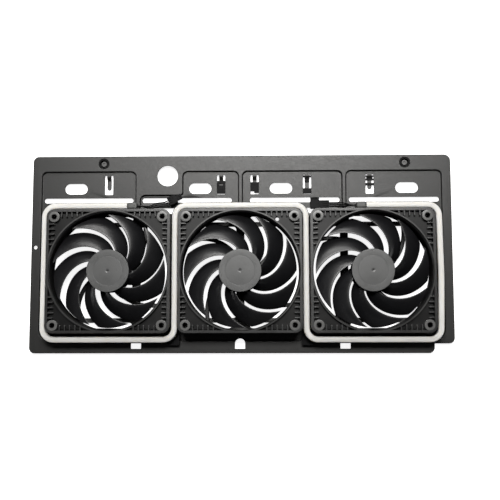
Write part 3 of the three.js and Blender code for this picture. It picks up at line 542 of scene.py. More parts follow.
HOLE_EDGE = 0.28
ROUND_END = 0.01  # how much smaller than half the width a round end's radius is
BARS = [(-107.8, -99.3), (-4.6, 3.6), (98.2, 106.2)]
OPENING_HALF = 45.2
OPENING_R = 3.0
OPENING_ARC_R = 58.5
OPENING_ARC_POINTS = 33
OPENING_CORNER_STEPS = 5
FAN_HOLE_Y = 52.6
SLOT_ROWS = [(72.1, 4.7), (61.4, 5.4), (FAN_HOLE_Y, 5.4), (-FAN_HOLE_Y, 5.4)]  # (y from the fans' row, width)
SLOT_SPANS = [(9, 98.5), (107.6, 196.9)]  # from the middle to each side
OVAL_XS = (-165.2, -40.6, 40.1, 165.2)
OVAL = {"y": FAN_ROW_Y + 84, "length": 22.5, "width": 10.7}
TIE_XS = (-132.3, -19.7, 13.8, 66.2, 128.5)
TIE = {"y": FAN_ROW_Y + 87.7, "width": 8.2, "height": 19.5, "radius": 0.8}
TIE_TOP = TIE["y"] + TIE["height"] / 2
BIG_HOLE = {"x": -73.1, "y": FAN_ROW_Y + 96.5, "radius": 10.3}
SIDE_HOLE = {"x": -204.3, "y": FAN_ROW_Y + 25, "radius": 1.8}
CAPTIVE_XS = (-137.4, 163.3)
CAPTIVE_Y = FAN_ROW_Y + 109.1
CAPTIVE_R = 5.4
HOOK_XS = (-102.9, -0.7, 102.2)
HOOK = {"half": 5, "bottom": FAN_ROW_Y - 75.3, "top": FAN_ROW_Y - 65.4, "low_r": 0.5, "high_r": 4.95}
# The tongues hang from the slots' upper edge, step down close under it and end in a round tip.
TONGUE = {"width": 4.2, "length": 14.6, "root": 0.6, "step_from": 1.0, "step_run": 4.6, "drop": 2.0}
TONGUE_EDGE = 0.2
TONGUE_EDGE_SHARE = 0.4  # the most that the edge takes of the half width
TONGUE_TIP_HALF = 0.2
TONGUE_LOWEST = 0.15
SKIN = 0.02  # how far a face that would lie in another one is drawn in

STRAP_LOW = 1.75
STRAP_GAP = 0.06
STRAP_HALF = 4.7
STRAP_ARM = 1.9
STRAP_CORE = 3.1
STRAP_R = 0.4
STRAP_EDGE = 0.15
# One list for each of the last four tie slots. Each bar is (where it starts and ends, from the slot's upper
# edge down, and where it starts and ends across, from the slot's middle).
WHOLE = (-STRAP_HALF, STRAP_HALF)
LEFT_ARM = (-STRAP_HALF, -STRAP_ARM)
RIGHT_ARM = (STRAP_ARM, STRAP_HALF)
STRAP_BARS = [
    [(5.5, 8.7, *WHOLE), (8.5, 10.4, *LEFT_ARM), (8.5, 10.4, *RIGHT_ARM), (10.2, 18.8, *WHOLE)],
    [(7.0, 9.8, *WHOLE), (9.6, 16.4, *WHOLE), (16.2, 18.2, -0.5, STRAP_HALF)],
    [(0.4, 2.5, *LEFT_ARM), (0.4, 2.5, *RIGHT_ARM), (2.2, 7.6, -2.4, 2.4), (13.4, 19.0, *WHOLE)],
    [(0.8, 2.4, *LEFT_ARM), (0.8, 2.4, *RIGHT_ARM), (2.2, 4.2, -STRAP_CORE, STRAP_CORE),
     (4.0, 6.0, *WHOLE), (8.4, 11.0, *WHOLE)],
]


def hole(tools, points_at, level=FLOOR, under=PAN_UNDER):
    """Adds a cutter whose hole has its edges rounded off at both faces of the sheet."""
    knee = HOLE_EDGE * EDGE_KNEE
    wide, part, narrow = points_at(HOLE_EDGE), points_at(knee), points_at(0)
    tools.loft([
        (wide, under - 4), (wide, under), (part, under + knee), (narrow, under + HOLE_EDGE),
        (narrow, level - HOLE_EDGE), (part, level - knee), (wide, level), (wide, level + 6),
    ])


def boxed(x, y, length, width, radius, steps=8):
    corners = box_corners(x - length / 2, y - width / 2, x + length / 2, y + width / 2, radius)
    return lambda outset: outline(corners, outset, steps)


def long_hole(x, y, length, width):
    """The outline of a hole with round ends."""
    return boxed(x, y, length, width, width / 2 - ROUND_END)


def round_hole(x, y, radius, steps):
    return lambda outset: circle(x, y, radius + outset, steps)


def inner_opening(x0, x1):
    return boxed((x0 + x1) / 2, FAN_ROW_Y, x1 - x0, 2 * OPENING_HALF, OPENING_R, OPENING_CORNER_STEPS)


def outer_opening(bar_x, fan_x, side):
    """The outline of the air opening at one end: straight along its bar, and an arc about its fan."""

    def points_at(outset):
        radius, half = OPENING_ARC_R + outset, OPENING_HALF + outset
        sweep = math.asin(half / radius)
        arc = [(fan_x + side * radius * math.cos(a), FAN_ROW_Y + side * radius * math.sin(a))
               for a in np.linspace(-sweep, sweep, OPENING_ARC_POINTS)]
        edge_x = bar_x - side * outset
        turns = []
        for upper in (side, -side):
            for k in range(OPENING_CORNER_STEPS + 1):
                part = k / OPENING_CORNER_STEPS
                a = math.pi / 2 * (part if upper == side else 1 - part)
                in_x, in_y = OPENING_R * (1 - math.sin(a)), OPENING_R * (1 - math.cos(a))
                turns.append((edge_x + side * in_x, FAN_ROW_Y + upper * (half - in_y)))
        return flat(arc + turns)

    return points_at


def make_tray():
    """The plate: a flat rim, and a pan that is joined on as a block and hollowed out from above."""
    sheet = Shape().slab(EDGE_CORNERS, RIM_UNDER, RIM_TOP).object()
    under_levels = [(WALL_THICK + out, PAN_UNDER + up) for out, up in WALL[:-2]]
    under_levels.append((WALL_THICK + WALL_ROOT[0], RIM_TOP - WALL_ROOT[1]))
    pan_levels = [(out, FLOOR + up) for out, up in WALL] + [(WALL[-1][0], RIM_TOP + 2)]
    blank = Shape().loft([(outline(BLANK_CORNERS, out), z) for out, z in under_levels]).object()
    cavity = Shape().loft([(outline(PAN_CORNERS, out), z) for out, z in pan_levels]).object()
    tray = combine(sheet, [blank], "UNION")
    tray = combine(tray, [cavity, rib_grooves()], "DIFFERENCE")
    tray = combine(tray, [tray_holes()], "DIFFERENCE")
    return combine(tray, [make_tongues()], "UNION")


def rib_grooves():
    """The underside of the three ribs."""
    grooves = Shape()
    for (left, right), top in zip(RIBS, (LOW_TOP, PAN["top"], PAN["top"])):
        x, low = (left + right) / 2, RIB_END + RIB_R + RIB_GROOVE_INSET
        levels = []
        for half, z in RIB_GROOVE:
            corners = box_corners(x - half, low - half, x + half, top + half, half * RIB_GROOVE_ROUND)
            levels.append((outline(corners), z))
        grooves.loft(levels)
    return grooves.object()


def tray_holes():
    tools = Shape()
    hole(tools, outer_opening(BARS[0][0], FAN_CENTRES[0].x, -1))
    for left_bar, right_bar in zip(BARS, BARS[1:]):
        hole(tools, inner_opening(left_bar[1], right_bar[0]))
    hole(tools, outer_opening(BARS[-1][1], FAN_CENTRES[-1].x, 1))
    for y, width in SLOT_ROWS:
        for side in (-1, 1):
            for start, end in SLOT_SPANS:
                hole(tools, long_hole(side * (start + end) / 2, FAN_ROW_Y + y, end - start, width))
    for x in OVAL_XS:
        hole(tools, long_hole(x, OVAL["y"], OVAL["length"], OVAL["width"]))
    for x in TIE_XS:
        hole(tools, boxed(x, TIE["y"], TIE["width"], TIE["height"], TIE["radius"], 3))
    hole(tools, round_hole(**BIG_HOLE, steps=64), RIM_TOP, RIM_UNDER)
    hole(tools, round_hole(**SIDE_HOLE, steps=24), RIM_TOP, RIM_UNDER)
    for x in CAPTIVE_XS:
        hole(tools, round_hole(x, CAPTIVE_Y, CAPTIVE_R, 48), RIM_TOP, RIM_UNDER)
    for x in HOOK_XS:
        left, right = x - HOOK["half"], x + HOOK["half"]
        corners = [(left, HOOK["bottom"], HOOK["low_r"]), (right, HOOK["bottom"], HOOK["low_r"]),
                   (right, HOOK["top"], HOOK["high_r"]), (left, HOOK["top"], HOOK["high_r"])]
        tools.prism(outline(corners, 0, 8), -3, RIM_TOP + 3)
    return tools.object()


def tongue_section(x, y):
    """A tongue's corners at y: narrower in its round tip, and lower past the step."""
    down = min(max((TIE_TOP - TONGUE["step_from"] - y) / TONGUE["step_run"], 0), 1)
    z = FLOOR - SKIN - TONGUE["drop"] * (3 * down ** 2 - 2 * down ** 3)
    to_tip = y - (TIE_TOP - TONGUE["length"])
    radius = TONGUE["width"] / 2
    half = radius
    if to_tip <= radius:
        half = math.sqrt(max(radius ** 2 - (radius - to_tip) ** 2, TONGUE_TIP_HALF ** 2))
    low = max(z - SHEET + 2 * SKIN, TONGUE_LOWEST)
    e = min(TONGUE_EDGE, half * TONGUE_EDGE_SHARE)
    corners = ((-half, low + e), (-half + e, low), (half - e, low), (half, low + e),
               (half, z - e), (half - e, z), (-half + e, z), (-half, z - e))
    return [(x + across, y, at_z) for across, at_z in corners]


def make_tongues():
    """The tongues in the tie slots."""
    steps = 30
    reach = TONGUE["length"] + TONGUE["root"]
    shape = Shape()
    for x in TIE_XS:
        ys = [TIE_TOP + TONGUE["root"] - k / steps * reach for k in range(steps + 1)]
        shape.rings([tongue_section(x, y) for y in ys])
    return shape.object()


def make_straps():
    """The dark straps seen through the last four tie slots, lying on the tongues, close under the sheet."""
    shape = Shape()
    for x, slot_bars in zip(TIE_XS[1:], STRAP_BARS):
        for n, (start, end, x0, x1) in enumerate(slot_bars):
            corners = box_corners(x + x0, TIE_TOP - end, x + x1, TIE_TOP - start, STRAP_R)
            low, high = STRAP_LOW + SKIN * n, PAN_UNDER - STRAP_GAP - SKIN * n
            shape.slab(corners, low, high, STRAP_EDGE, steps=2)
    return shape.object()


finish_piece(make_straps(), "slot_straps", BLACK_PLASTIC, "tray", [])
finish_piece(make_tray(), "tray_sheet", POWDER_COAT, "tray", ["tray_plate"], smooth=28)

# ---------- fans ----------

HALF = 60
SCREW = 52.5
POST_XYS = [(sx * SCREW, sy * SCREW) for sx in (-1, 1) for sy in (-1, 1)]
POST_R = 5.2
POST_TOP = FAN_DEPTH - 0.25  # the posts' smooth faces are pieces of their own
BORE_R = 57.2
BORE_WALL = 2.1
BORE_STEPS = 160
PAST = 3  # how far a cutter goes past the housing
WEB_TOP = 20.8
WEB_THICK = 2
RAIL = 2.6
RAIL_INSIDE = HALF - RAIL
LEAD_HOLE_FAN = 1
LEAD_HOLE = (36, 49.8, 1.8)

# The teeth inside each rail, and the blind groove in the web along it.
TOOTH_TOP = 24.3
TOOTH_HALF = 0.65
TOOTH_LENGTH = 5.2
TOOTH_R = 0.6
TEETH = (25.5, 30.5, 35.5, 40.5, 45.5)
GROOVE_WIDTH = 1.3
GROOVE_DEPTH = 1.75
GROOVE_SPAN = (16, 47.6)
GROOVE_R = 0.3

# Profiles to turn, as (radius, z).
BORE_PROFILE = [
    (0, -1), (BORE_R + 0.5, -1), (BORE_R + 0.5, 0), (BORE_R, 0.6), (BORE_R, 22.4), (BORE_R + 0.5, 23.0),
    (BORE_R + 0.62, 24.1), (BORE_R + 0.8, 24.3), (BORE_R + 0.95, 24.6), (BORE_R + 1.05, 25),
    (BORE_R + 1.05, 27), (0, 27),
]
SCREW_HOLE_PROFILE = [
    (0, -1), (2.65, -1), (2.65, 0), (2.15, 0.5), (2.15, 24.2), (2.65, 24.8), (2.65, 27), (0, 27),
]
POST_FACE_PROFILE = [
    (2.75, 24.76), (4.95, 24.76), (5.2, 24.8), (5.2, 24.88), (5.0, 25), (2.85, 25), (2.75, 24.92),
]
MOTOR_BASE_PROFILE = [(0, 0), (19.4, 0), (20, 0.5), (20, 2), (0, 2)]
BEARING_TUBE = (4.6, 0.5, 17)  # radius, low and high
BEARING_HOLE = (3.6, -1, 18)
STRUT_PROFILE = mirrored([(1.7, 0), (2, 0.3), (2, 2.4), (1.3, 3)])
STRUTS = 4
STRUT_ANGLE = 20  # degrees, at STRUT_ANGLE_R
STRUT_ANGLE_R = 20
STRUT_SWEEP = 0.95  # degrees to a millimetre outwards
STRUT_START = 18


def rod(radius, low, high, steps):
    return Shape().turned([(0, low), (radius, low), (radius, high), (0, high)], steps).object()


def post_and_teeth():
    """What stays standing on the web: the four posts and the teeth along the rails."""
    solid = Shape()
    for x, y in POST_XYS:
        solid.prism(circle(x, y, POST_R, 40), -PAST, POST_TOP)
    for side in (-1, 1):
        low, high = sorted((side * (RAIL_INSIDE - TOOTH_LENGTH), side * (RAIL_INSIDE + 0.4)))
        for sign in (-1, 1):
            for along in TEETH:
                start, end = sign * along - TOOTH_HALF, sign * along + TOOTH_HALF
                for sides in ((start, low, end, high), (low, start, high, end)):
                    solid.slab(box_corners(*sides, TOOTH_R), WEB_TOP - 3, TOOTH_TOP, edge=0.2, steps=3)
    return solid.object()


def web_grooves():
    """The blind grooves in the web, next to the rails."""
    grooves = Shape()
    for side in (-1, 1):
        low, high = sorted((side * (RAIL_INSIDE - GROOVE_WIDTH), side * (RAIL_INSIDE + 0.2)))
        for sign in (-1, 1):
            start, end = sorted(sign * reach for reach in GROOVE_SPAN)
            for sides in ((low, start, high, end), (start, low, end, high)):
                line = outline(box_corners(*sides, GROOVE_R), steps=2)
                grooves.prism(line, WEB_TOP - GROOVE_DEPTH, WEB_TOP + 0.5)
    return grooves.object()


def make_motor():
    """The struts, the motor's base and the tube that holds the bearing."""
    struts = Shape()
    for index in range(STRUTS):
        line = []
        for r in np.linspace(STRUT_START, BORE_R + 1.6, 15):
            turn = STRUT_ANGLE + 360 / STRUTS * index + STRUT_SWEEP * (r - STRUT_ANGLE_R)
            line.append(turned_by(Vector((r, 0)), math.radians(turn)))
        struts.swept(line, STRUT_PROFILE)
    base = Shape().turned(MOTOR_BASE_PROFILE, 64).object()
    motor = combine(struts.object(), [base, rod(*BEARING_TUBE, 32)], "UNION")
    return combine(motor, [rod(*BEARING_HOLE, 32)], "DIFFERENCE")


def make_frame(has_lead_hole):
    """A fan's housing, about the middle of its back: a block with its bore, its posts and the pockets
    between them, and the motor's struts."""
    square = box_corners(-HALF, -HALF, HALF, HALF, HALF - SCREW)
    inside = outline(square, -RAIL, 10)
    plate = Shape().slab(square, 0, FAN_DEPTH, edge=0.3, steps=10).object()
    bore = Shape().turned(BORE_PROFILE, BORE_STEPS).object()
    ring = Shape().prism(circle(0, 0, BORE_R + BORE_WALL, BORE_STEPS), -PAST, FAN_DEPTH + PAST).object()
    pockets = Shape().prism(inside, -1, WEB_TOP - WEB_THICK).prism(inside, WEB_TOP, FAN_DEPTH + 1).object()
    pockets = combine(pockets, [web_grooves()], "UNION")
    pockets = combine(pockets, [ring, post_and_teeth()], "DIFFERENCE")
    holes = Shape()
    if has_lead_hole:
        holes.prism(circle(*LEAD_HOLE, 24), -1, FAN_DEPTH + 1)
    for x, y in POST_XYS:
        holes.turned(SCREW_HOLE_PROFILE, 32, x, y)
    housing = combine(plate, [pockets, holes.object(), bore], "DIFFERENCE")
    return combine(housing, [make_motor()], "UNION")


def make_post_faces():
    """The smooth faces of the four corner posts."""
    shape = Shape()
    for x, y in POST_XYS:
        shape.turned(POST_FACE_PROFILE, 48, x, y)
    return shape.object()


HUB_R = 20.6
HUB_TOP = 24.1
HUB_LOW = 7.5
HUB_INSIDE_R = 19.3
HUB_CEILING = 22.5
HUB_PROFILE = [
    (0, 17.6), (3.4, 17.6), (3.4, HUB_CEILING), (HUB_INSIDE_R, HUB_CEILING), (HUB_INSIDE_R, HUB_LOW),
    (20.4, HUB_LOW), (HUB_R, 7.7), (HUB_R, HUB_TOP - 0.6), (HUB_R - 0.06, HUB_TOP - 0.35),
    (HUB_R - 0.2, HUB_TOP - 0.1), (HUB_R - 0.45, HUB_TOP),
    (14.6, HUB_TOP), (14.35, HUB_TOP - 0.12), (14.1, HUB_TOP),
    (2.2, HUB_TOP), (1.5, HUB_TOP - 0.12), (0.9, HUB_TOP - 0.35), (0, HUB_TOP - 0.35),
]
SHAFT_HOLE_R = 1.8
TIP_R = 54.8
BLADES = 9
FAN_PHASES = (25.8, 9.3, 37.5)  # degrees
GAP = 3.2  # between two blades at the hub
GAP_GROWTH = 0.062  # per millimetre outwards
SWEEP_R = 38
SWEEP = 1.683  # degrees to a millimetre outwards at SWEEP_R
SWEEP_GROWTH = 0.0024
BLADE_LOW = 8.15
BLADE_RISE = 11.0
BLADE_CAMBER = 0.6
BLADE_HALF = 0.62
BLADE_ROOT = 1.2  # how far in from the hub's outside a blade starts
BLADE_THINNING = 0.15  # how much of the thickness is gone at the tip


def blade_point(phase, r, u):
    """A point of a blade's middle surface: u runs from the low trailing edge to the high leading edge."""
    gap = (GAP + GAP_GROWTH * (r - HUB_R)) / r
    out = r - SWEEP_R
    start = math.radians(phase + SWEEP * out + SWEEP_GROWTH * out * out) + gap / 2
    angle = start + (2 * math.pi / BLADES - gap) * u
    rise = (1 + BLADE_CAMBER) * u - BLADE_CAMBER * u * u
    return Vector((r * math.cos(angle), r * math.sin(angle), BLADE_LOW + BLADE_RISE * rise))


def blade_section(phase, r, columns):
    """A closed line round a blade at radius r, along its lower side and back along its upper side."""
    upper, lower = [], []
    taper = 1 - BLADE_THINNING * (r - HUB_R) / (TIP_R - HUB_R)
    for k in range(columns + 1):
        u = (1 - math.cos(math.pi * k / columns)) / 2
        along = blade_point(phase, r, min(u + 0.01, 1)) - blade_point(phase, r, max(u - 0.01, 0))
        out = blade_point(phase, r + 0.2, u) - blade_point(phase, r - 0.2, u)
        normal = out.cross(along).normalized()
        normal = normal if normal.z > 0 else -normal
        half = BLADE_HALF * math.sqrt(max(1 - (2 * u - 1) ** 6, 0.01)) * taper
        middle = blade_point(phase, r, u)
        upper.append(middle + normal * half)
        lower.append(middle - normal * half)
    return lower + upper[::-1]


def make_blade(phase, rows=18, columns=20):
    root = HUB_R - BLADE_ROOT
    radii = [root + (TIP_R - root) * i / rows for i in range(rows + 1)]
    return Shape().rings([blade_section(phase, r, columns) for r in radii]).object()


def make_impeller(phase):
    """A hollow hub with nine swept blades, turned by phase degrees."""
    hub = Shape().turned(HUB_PROFILE, 128).object()
    inside = rod(HUB_INSIDE_R, 0, HUB_CEILING, 128)
    first, *others = (make_blade(phase + 360 * i / BLADES) for i in range(BLADES))
    blades = combine(combine(first, others, "UNION"), [inside], "DIFFERENCE")
    shaft_hole = rod(SHAFT_HOLE_R, 10, HUB_CEILING, 24)
    return combine(combine(hub, [blades], "UNION"), [shaft_hole], "DIFFERENCE")


def own_copy(made):
    """A copy of an object with its own mesh."""
    other = made.copy()
    other.data = made.data.copy()
    bpy.context.scene.collection.objects.link(other)
    return other


# The band on the ring's flat top that gets the painted highlight.
LIP_SPAN = (0.6, 2.2)  # from the bore outwards
LIP_LIMIT = 59


def paint_housing(housing):
    """Paints shade on the sunken web with a darker copy of the frame plastic, and a highlight on the ring's
    lip with a lighter copy.
    """
    housing.data.materials.append(WEB_SHADE_PLASTIC)
    housing.data.materials.append(LIP_HIGHLIGHT_PLASTIC)
    for face in housing.data.polygons:
        centre = face.center / MM
        out = centre.xy.length - BORE_R
        across = max(abs(c) for c in centre.xy)
        # The sunken web: painted shade.
        if centre.z < WEB_TOP + 0.1 and out > LIP_SPAN[0]:
            face.material_index = 1
        # The ring's flat top: painted highlight.
        elif centre.z > FAN_DEPTH - 0.6 and LIP_SPAN[0] < out < LIP_SPAN[1] and across < LIP_LIMIT:
            face.material_index = 2


def paint_hub(impeller):
    """Gives the hub's top its own plastic."""
    impeller.data.materials.append(HUB_PLASTIC)
    for face in impeller.data.polygons:
        if face.center.z > (HUB_TOP - 0.3) * MM:
            face.material_index = 1


plain_housing = make_frame(False)
plain_post_faces = make_post_faces()
for i, centre in enumerate(FAN_CENTRES):
    place = (centre.x, centre.y, FAN_BACK)
    fan = f"fan_{i + 1}"
    housing = make_frame(True) if i == LEAD_HOLE_FAN else own_copy(plain_housing)
    finish_piece(housing, f"{fan}_housing", FRAME_PLASTIC, "tray", [f"{fan}_frame"], place)
    paint_housing(housing)
    faces = own_copy(plain_post_faces)
    finish_piece(faces, f"{fan}_post_faces", PAD_PLASTIC, "tray", [], place)
    impeller = finish_piece(make_impeller(FAN_PHASES[i]), f"{fan}_blades", BLADE_PLASTIC, f"{fan}_rotor",
                            [f"{fan}_impeller"], place)
    paint_hub(impeller)
for spare in (plain_housing, plain_post_faces):
    bpy.data.objects.remove(spare)

# ---------- light strip, its carriers and end caps ----------

STRIP_HALF = 2.8
STRIP_BEND_R = 11
STRIP_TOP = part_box("light_strip")[1].z / MM
STRIP_UNDER = STRIP_TOP - 6
CHANNEL_HALF = 3.5
CHANNEL_INSIDE = STRIP_HALF + 0.25
CHANNEL_EDGE = 0.18
CHANNEL_FLOOR = STRIP_UNDER - 1
CHANNEL_TOP = STRIP_TOP - 3
CARRIER_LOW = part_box("strip_carrier_left")[0].z / MM
CARRIER_JOINT = 0.3
HIGH_Y = FAN_ROW_Y + 64.2
LOW_Y = FAN_ROW_Y - 66.2
LEG_IN = FAN_PITCH / 2
LEG_OUT = FAN_PITCH * 1.5
START_X = -110.9
END_X = 123
SEAM_Y = HIGH_Y - 30
FOOT_LOW = FAN_ROW_Y - 71.8
FOOT_HIGH = FAN_ROW_Y - 61
FOOT_IN = 59.6
FOOT_OUT = LEG_IN + 8
FOOT_HEIGHT = 5.7
FOOT_R = 1
CAP_LENGTH = 9.8
CAP_HALF = 3.1
CAP_R = 1.6
CAP_SHORT = 0.3  # how far each cap stays inside the end of the strip's line
CAP_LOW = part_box("strip_end_cap_left")[0].z / MM

# The strip's way round the fans. The right leg leans and bows out a little, with radius LEG_BOW_R.
LEG_BOW_R = 500
STRIP_CORNERS = [
    (START_X, HIGH_Y), (-LEG_OUT, HIGH_Y), (-LEG_OUT, LOW_Y), (-LEG_IN, LOW_Y),
    (-LEG_IN, HIGH_Y), (LEG_IN, HIGH_Y), (LEG_IN, LOW_Y), (LEG_OUT + 0.8, LOW_Y),
    (LEG_OUT + 2.2, FAN_ROW_Y - 5, LEG_BOW_R), (LEG_OUT + 1.2, HIGH_Y), (END_X, HIGH_Y),
]
# Profiles to push along a line, as (across, z). The strip has a fine groove along each side of its top.
STRIP_PROFILE = mirrored([
    (STRIP_HALF - 0.3, STRIP_UNDER), (STRIP_HALF, STRIP_UNDER + 0.3), (STRIP_HALF, STRIP_TOP - 1.3),
    (STRIP_HALF - 0.12, STRIP_TOP - 0.75), (STRIP_HALF - 0.5, STRIP_TOP - 0.3),
    (STRIP_HALF - 1.0, STRIP_TOP - 0.06), (STRIP_HALF - 1.25, STRIP_TOP - 0.16),
    (STRIP_HALF - 1.5, STRIP_TOP - 0.02), (0.5, STRIP_TOP),
])
CHANNEL_PROFILE = mirrored([
    (CHANNEL_HALF, CARRIER_LOW), (CHANNEL_HALF, CHANNEL_TOP - CHANNEL_EDGE),
    (CHANNEL_HALF - CHANNEL_EDGE, CHANNEL_TOP), (CHANNEL_INSIDE + 0.05, CHANNEL_TOP),
    (CHANNEL_INSIDE, CHANNEL_TOP - 0.1), (CHANNEL_INSIDE, CHANNEL_FLOOR),
])
# An end cap's sides and its domed top as (outset, z).
CAP_LEVELS = [
    (0, CAP_LOW), (0, STRIP_TOP - 0.5), (-0.25, STRIP_TOP - 0.1), (-0.5, STRIP_TOP + 0.1),
    (-0.9, STRIP_TOP + 0.3), (-1.5, STRIP_TOP + 0.4),
]
CARRIERS = {
    "left": [*STRIP_CORNERS[:4], (-LEG_IN, SEAM_Y)],
    "middle": [(-LEG_IN, SEAM_Y + CARRIER_JOINT), *STRIP_CORNERS[4:6], (LEG_IN, SEAM_Y + CARRIER_JOINT)],
    "right": [(LEG_IN, SEAM_Y), *STRIP_CORNERS[6:]],
}
FEET = {
    "left": (-FOOT_OUT, FOOT_LOW, -FOOT_IN, FOOT_HIGH),
    "right": (FOOT_IN, FOOT_LOW, FOOT_OUT, FOOT_HIGH),
}


def rounded(corners, steps=14):
    """A line through corners (x, y) or (x, y, radius), rounded to STRIP_BEND_R where they have no radius."""
    points = [Vector(corners[0])]
    for before, corner, after in zip(corners, corners[1:], corners[2:]):
        radius = corner[2] if len(corner) > 2 else STRIP_BEND_R
        before, here, after = (Vector(p[:2]) for p in (before, corner, after))
        into, away = (here - before).normalized(), (after - here).normalized()
        turn = math.atan2(into.x * away.y - into.y * away.x, into.dot(away))
        start = here - into * (radius * math.tan(abs(turn) / 2))
        centre = start + Vector((-into.y, into.x)) * math.copysign(radius, turn)
        points += [centre + turned_by(start - centre, turn * k / steps) for k in range(steps + 1)]
    points.append(Vector(corners[-1]))
    return points


def make_carrier(side):
    """A channel that holds the strip, with a foot on the outer ones."""
    channel = Shape().swept(rounded(CARRIERS[side]), CHANNEL_PROFILE).object()
    if side not in FEET:
        return channel
    foot = Shape().slab(box_corners(*FEET[side], FOOT_R), CARRIER_LOW, CARRIER_LOW + FOOT_HEIGHT, edge=0.3)
    return combine(channel, [foot.object()], "UNION")


def make_cap(x0, x1):
    """The cover over one end of the strip."""
    corners = box_corners(x0, HIGH_Y - CAP_HALF, x1, HIGH_Y + CAP_HALF, CAP_R)
    return Shape().loft([(outline(corners, outset), z) for outset, z in CAP_LEVELS]).object()


strip = Shape().swept(rounded(STRIP_CORNERS), STRIP_PROFILE).object()
finish_piece(strip, "silicone_strip", SILICONE, "tray", ["light_strip"])
for side in CARRIERS:
    node = f"strip_carrier_{side}"
    finish_piece(make_carrier(side), f"channel_{side}", BLACK_PLASTIC, "tray", [node])
for side, x0, x1 in (
    ("left", START_X + CAP_SHORT, START_X + CAP_LENGTH),
    ("right", END_X - CAP_LENGTH, END_X - CAP_SHORT),
):
    cap = make_cap(x0, x1)
    finish_piece(cap, f"cap_{side}", CAP_PLASTIC, "tray", [f"strip_end_cap_{side}"])

# ---------- connectors ----------

WIRE_YS = (-2.2, 0, 2.2)
# Parts as (x0, y0, x1, y1, low, high), from the end where the leads go in.
PLUG_BODY = (0, -4.3, 8.6, 4.3, 0, 5.4)
PLUG_BODY_R = 0.6
PLUG_NOSE = (7.6, -2.7, 13.9, 2.7, 1, 4.4)
PLUG_CUTS = [(4.4, -5, 5.2, 5, 4.7, 6)]
for y in WIRE_YS:
    PLUG_CUTS.append((0.9, y - 0.6, 3.6, y + 0.6, 4.5, 6))
    PLUG_CUTS.append((11.2, y * 0.75 - 0.45, 12.9, y * 0.75 + 0.45, 3.6, 6))
SOCKET_BODY = (0, -3.8, 10.4, 3.8, 0, 4.6)
SOCKET_COLLAR = (10, -4.4, 18.6, 4.4, 0, 5.4)
SOCKET_LATCH = (10, -7, 18.6, -4.2, 1.2, 4.2)
SOCKET_CUTS = [(13, -3.4, 20, 3.4, 1, 4.4), (11.4, -5.6, 17.2, -4.7, 3.2, 6)]
SOCKET_CUTS += [(1.2, y - 0.6, 6.4, y + 0.6, 3.9, 6) for y in WIRE_YS]
CUT_R = 0.2


def block(x0, y0, x1, y1, low, high, radius=0.5):
    return Shape().slab(box_corners(x0, y0, x1, y1, radius), low, high, edge=0.3, steps=4).object()


def cuts(boxes):
    """One cutter for several small square recesses."""
    tools = Shape()
    for x0, y0, x1, y1, low, high in boxes:
        tools.prism(outline(box_corners(x0, y0, x1, y1, CUT_R), steps=2), low, high)
    return tools.object()


def make_plug():
    """The left connector: a body with three wire channels on top and a latch bar, and a narrower nose."""
    made = combine(block(*PLUG_BODY, PLUG_BODY_R), [block(*PLUG_NOSE)], "UNION")
    return combine(made, [cuts(PLUG_CUTS)], "DIFFERENCE")


def make_socket():
    """The right connector: a body, a collar with an open mouth and a latch beside it."""
    made = combine(block(*SOCKET_BODY), [block(*SOCKET_COLLAR), block(*SOCKET_LATCH)], "UNION")
    return combine(made, [cuts(SOCKET_CUTS)], "DIFFERENCE")


for side, made in (("left", make_plug()), ("right", make_socket())):
    place, tilt = CONNECTORS[side]["place"], CONNECTORS[side]["tilt"]
    made.data.transform(Matrix.Rotation(math.radians(tilt), 4, "Z"))
    finish_piece(made, f"plug_{side}", BLACK_PLASTIC, "tray", [f"connector_{side}"], place)
add_leads()

# ---------- carried-over CAD nodes ----------

# The first of these words that is in a node's name says what it is made of.
NODE_LOOKS = {
    "captive_retainer": BLACK_PLASTIC,
    "captive_screw": DARK_STEEL,
    "magnet_ring": FERRITE,
    "shaft_clip": BLACK_STEEL,
    "shaft": BRIGHT_STEEL,
    "bearing_cap": BLACK_PLASTIC,
    "bearing": BRONZE,
    "stator": COPPER,
    "circuit_board": BOARD,
    "fan_screw": BLACK_STEEL,
    "led_tape": TAPE,
}
for name, node in NODES.items():
    for key, material in NODE_LOOKS.items():
        if key in name:
            node.data.materials.clear()
            node.data.materials.append(material)
            break

# ---------- floor and light ----------

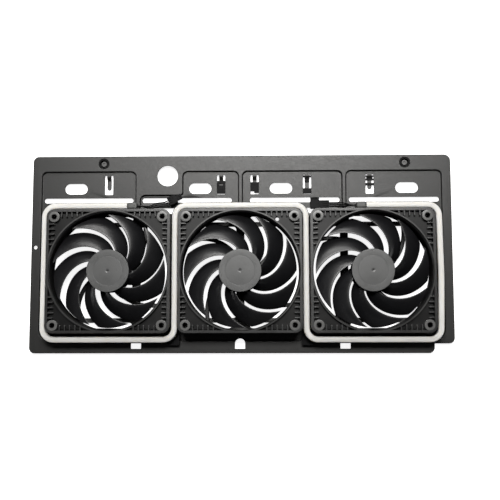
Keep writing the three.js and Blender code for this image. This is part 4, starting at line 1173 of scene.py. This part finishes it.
GROUND_HALF = 3000
GROUND_THICK = 20
GROUND_DROP = 0.1  # how far the ground is under the part
WARM = (1.0, 0.99, 0.972)
WHITE = (1.0, 1.0, 1.0)
ORIGIN = (0, 0, 0)
STRIP_AIM = (0, 0, 0.02)
# Rectangular lights: where, aimed at what, (width, height) in metres, power in watts and color.
LIGHTS = {
    "key": ((0.02, 0.48, 1.21), ORIGIN, (0.7, 0.3), 17.5, WARM),
    "back": ((-0.12, 1.12, 0.82), ORIGIN, (0.9, 0.4), 11, WARM),
    "left": ((-1.3, -0.1, 0.22), STRIP_AIM, (0.9, 0.25), 4, WHITE),
    "right": ((1.3, -0.1, 0.22), STRIP_AIM, (0.9, 0.25), 4, WHITE),
    "front": ((0, -1.3, 0.22), STRIP_AIM, (0.9, 0.25), 0.8, WHITE),
    "overhead": ((0, 0, 2.2), ORIGIN, (2.5, 2.5), 0.8, WHITE),
}
BACKDROP_STRENGTH = 0.9

ground = box_corners(-GROUND_HALF, -GROUND_HALF, GROUND_HALF, GROUND_HALF, GROUND_THICK)
floor = Shape().slab(ground, -GROUND_THICK - GROUND_DROP, -GROUND_DROP).object("floor")
floor.data.transform(Matrix.Scale(MM, 4))
floor.data.materials.append(floor_material())
floor.visible_diffuse = False
floor.visible_glossy = False

for name, (place, aim, size, power, color) in LIGHTS.items():
    data = bpy.data.lights.new(name, "AREA")
    data.shape = "RECTANGLE"
    data.size, data.size_y = size
    data.energy = power
    data.color = color
    light = bpy.data.objects.new(name, data)
    light.location = place
    light.rotation_euler = (Vector(aim) - Vector(place)).to_track_quat("-Z", "Y").to_euler()
    bpy.context.scene.collection.objects.link(light)

# Only the camera sees the white world. The lights above do all the lighting.
world = bpy.data.worlds.new("world")
bpy.context.scene.world = world
world.use_nodes = True
background = world.node_tree.nodes["Background"]
background.inputs["Color"].default_value = (1, 1, 1, 1)
background.inputs["Strength"].default_value = BACKDROP_STRENGTH
for ray in ("diffuse", "glossy", "transmission", "scatter"):
    setattr(world.cycles_visibility, ray, False)
bpy.context.scene.view_settings.view_transform = "Standard"
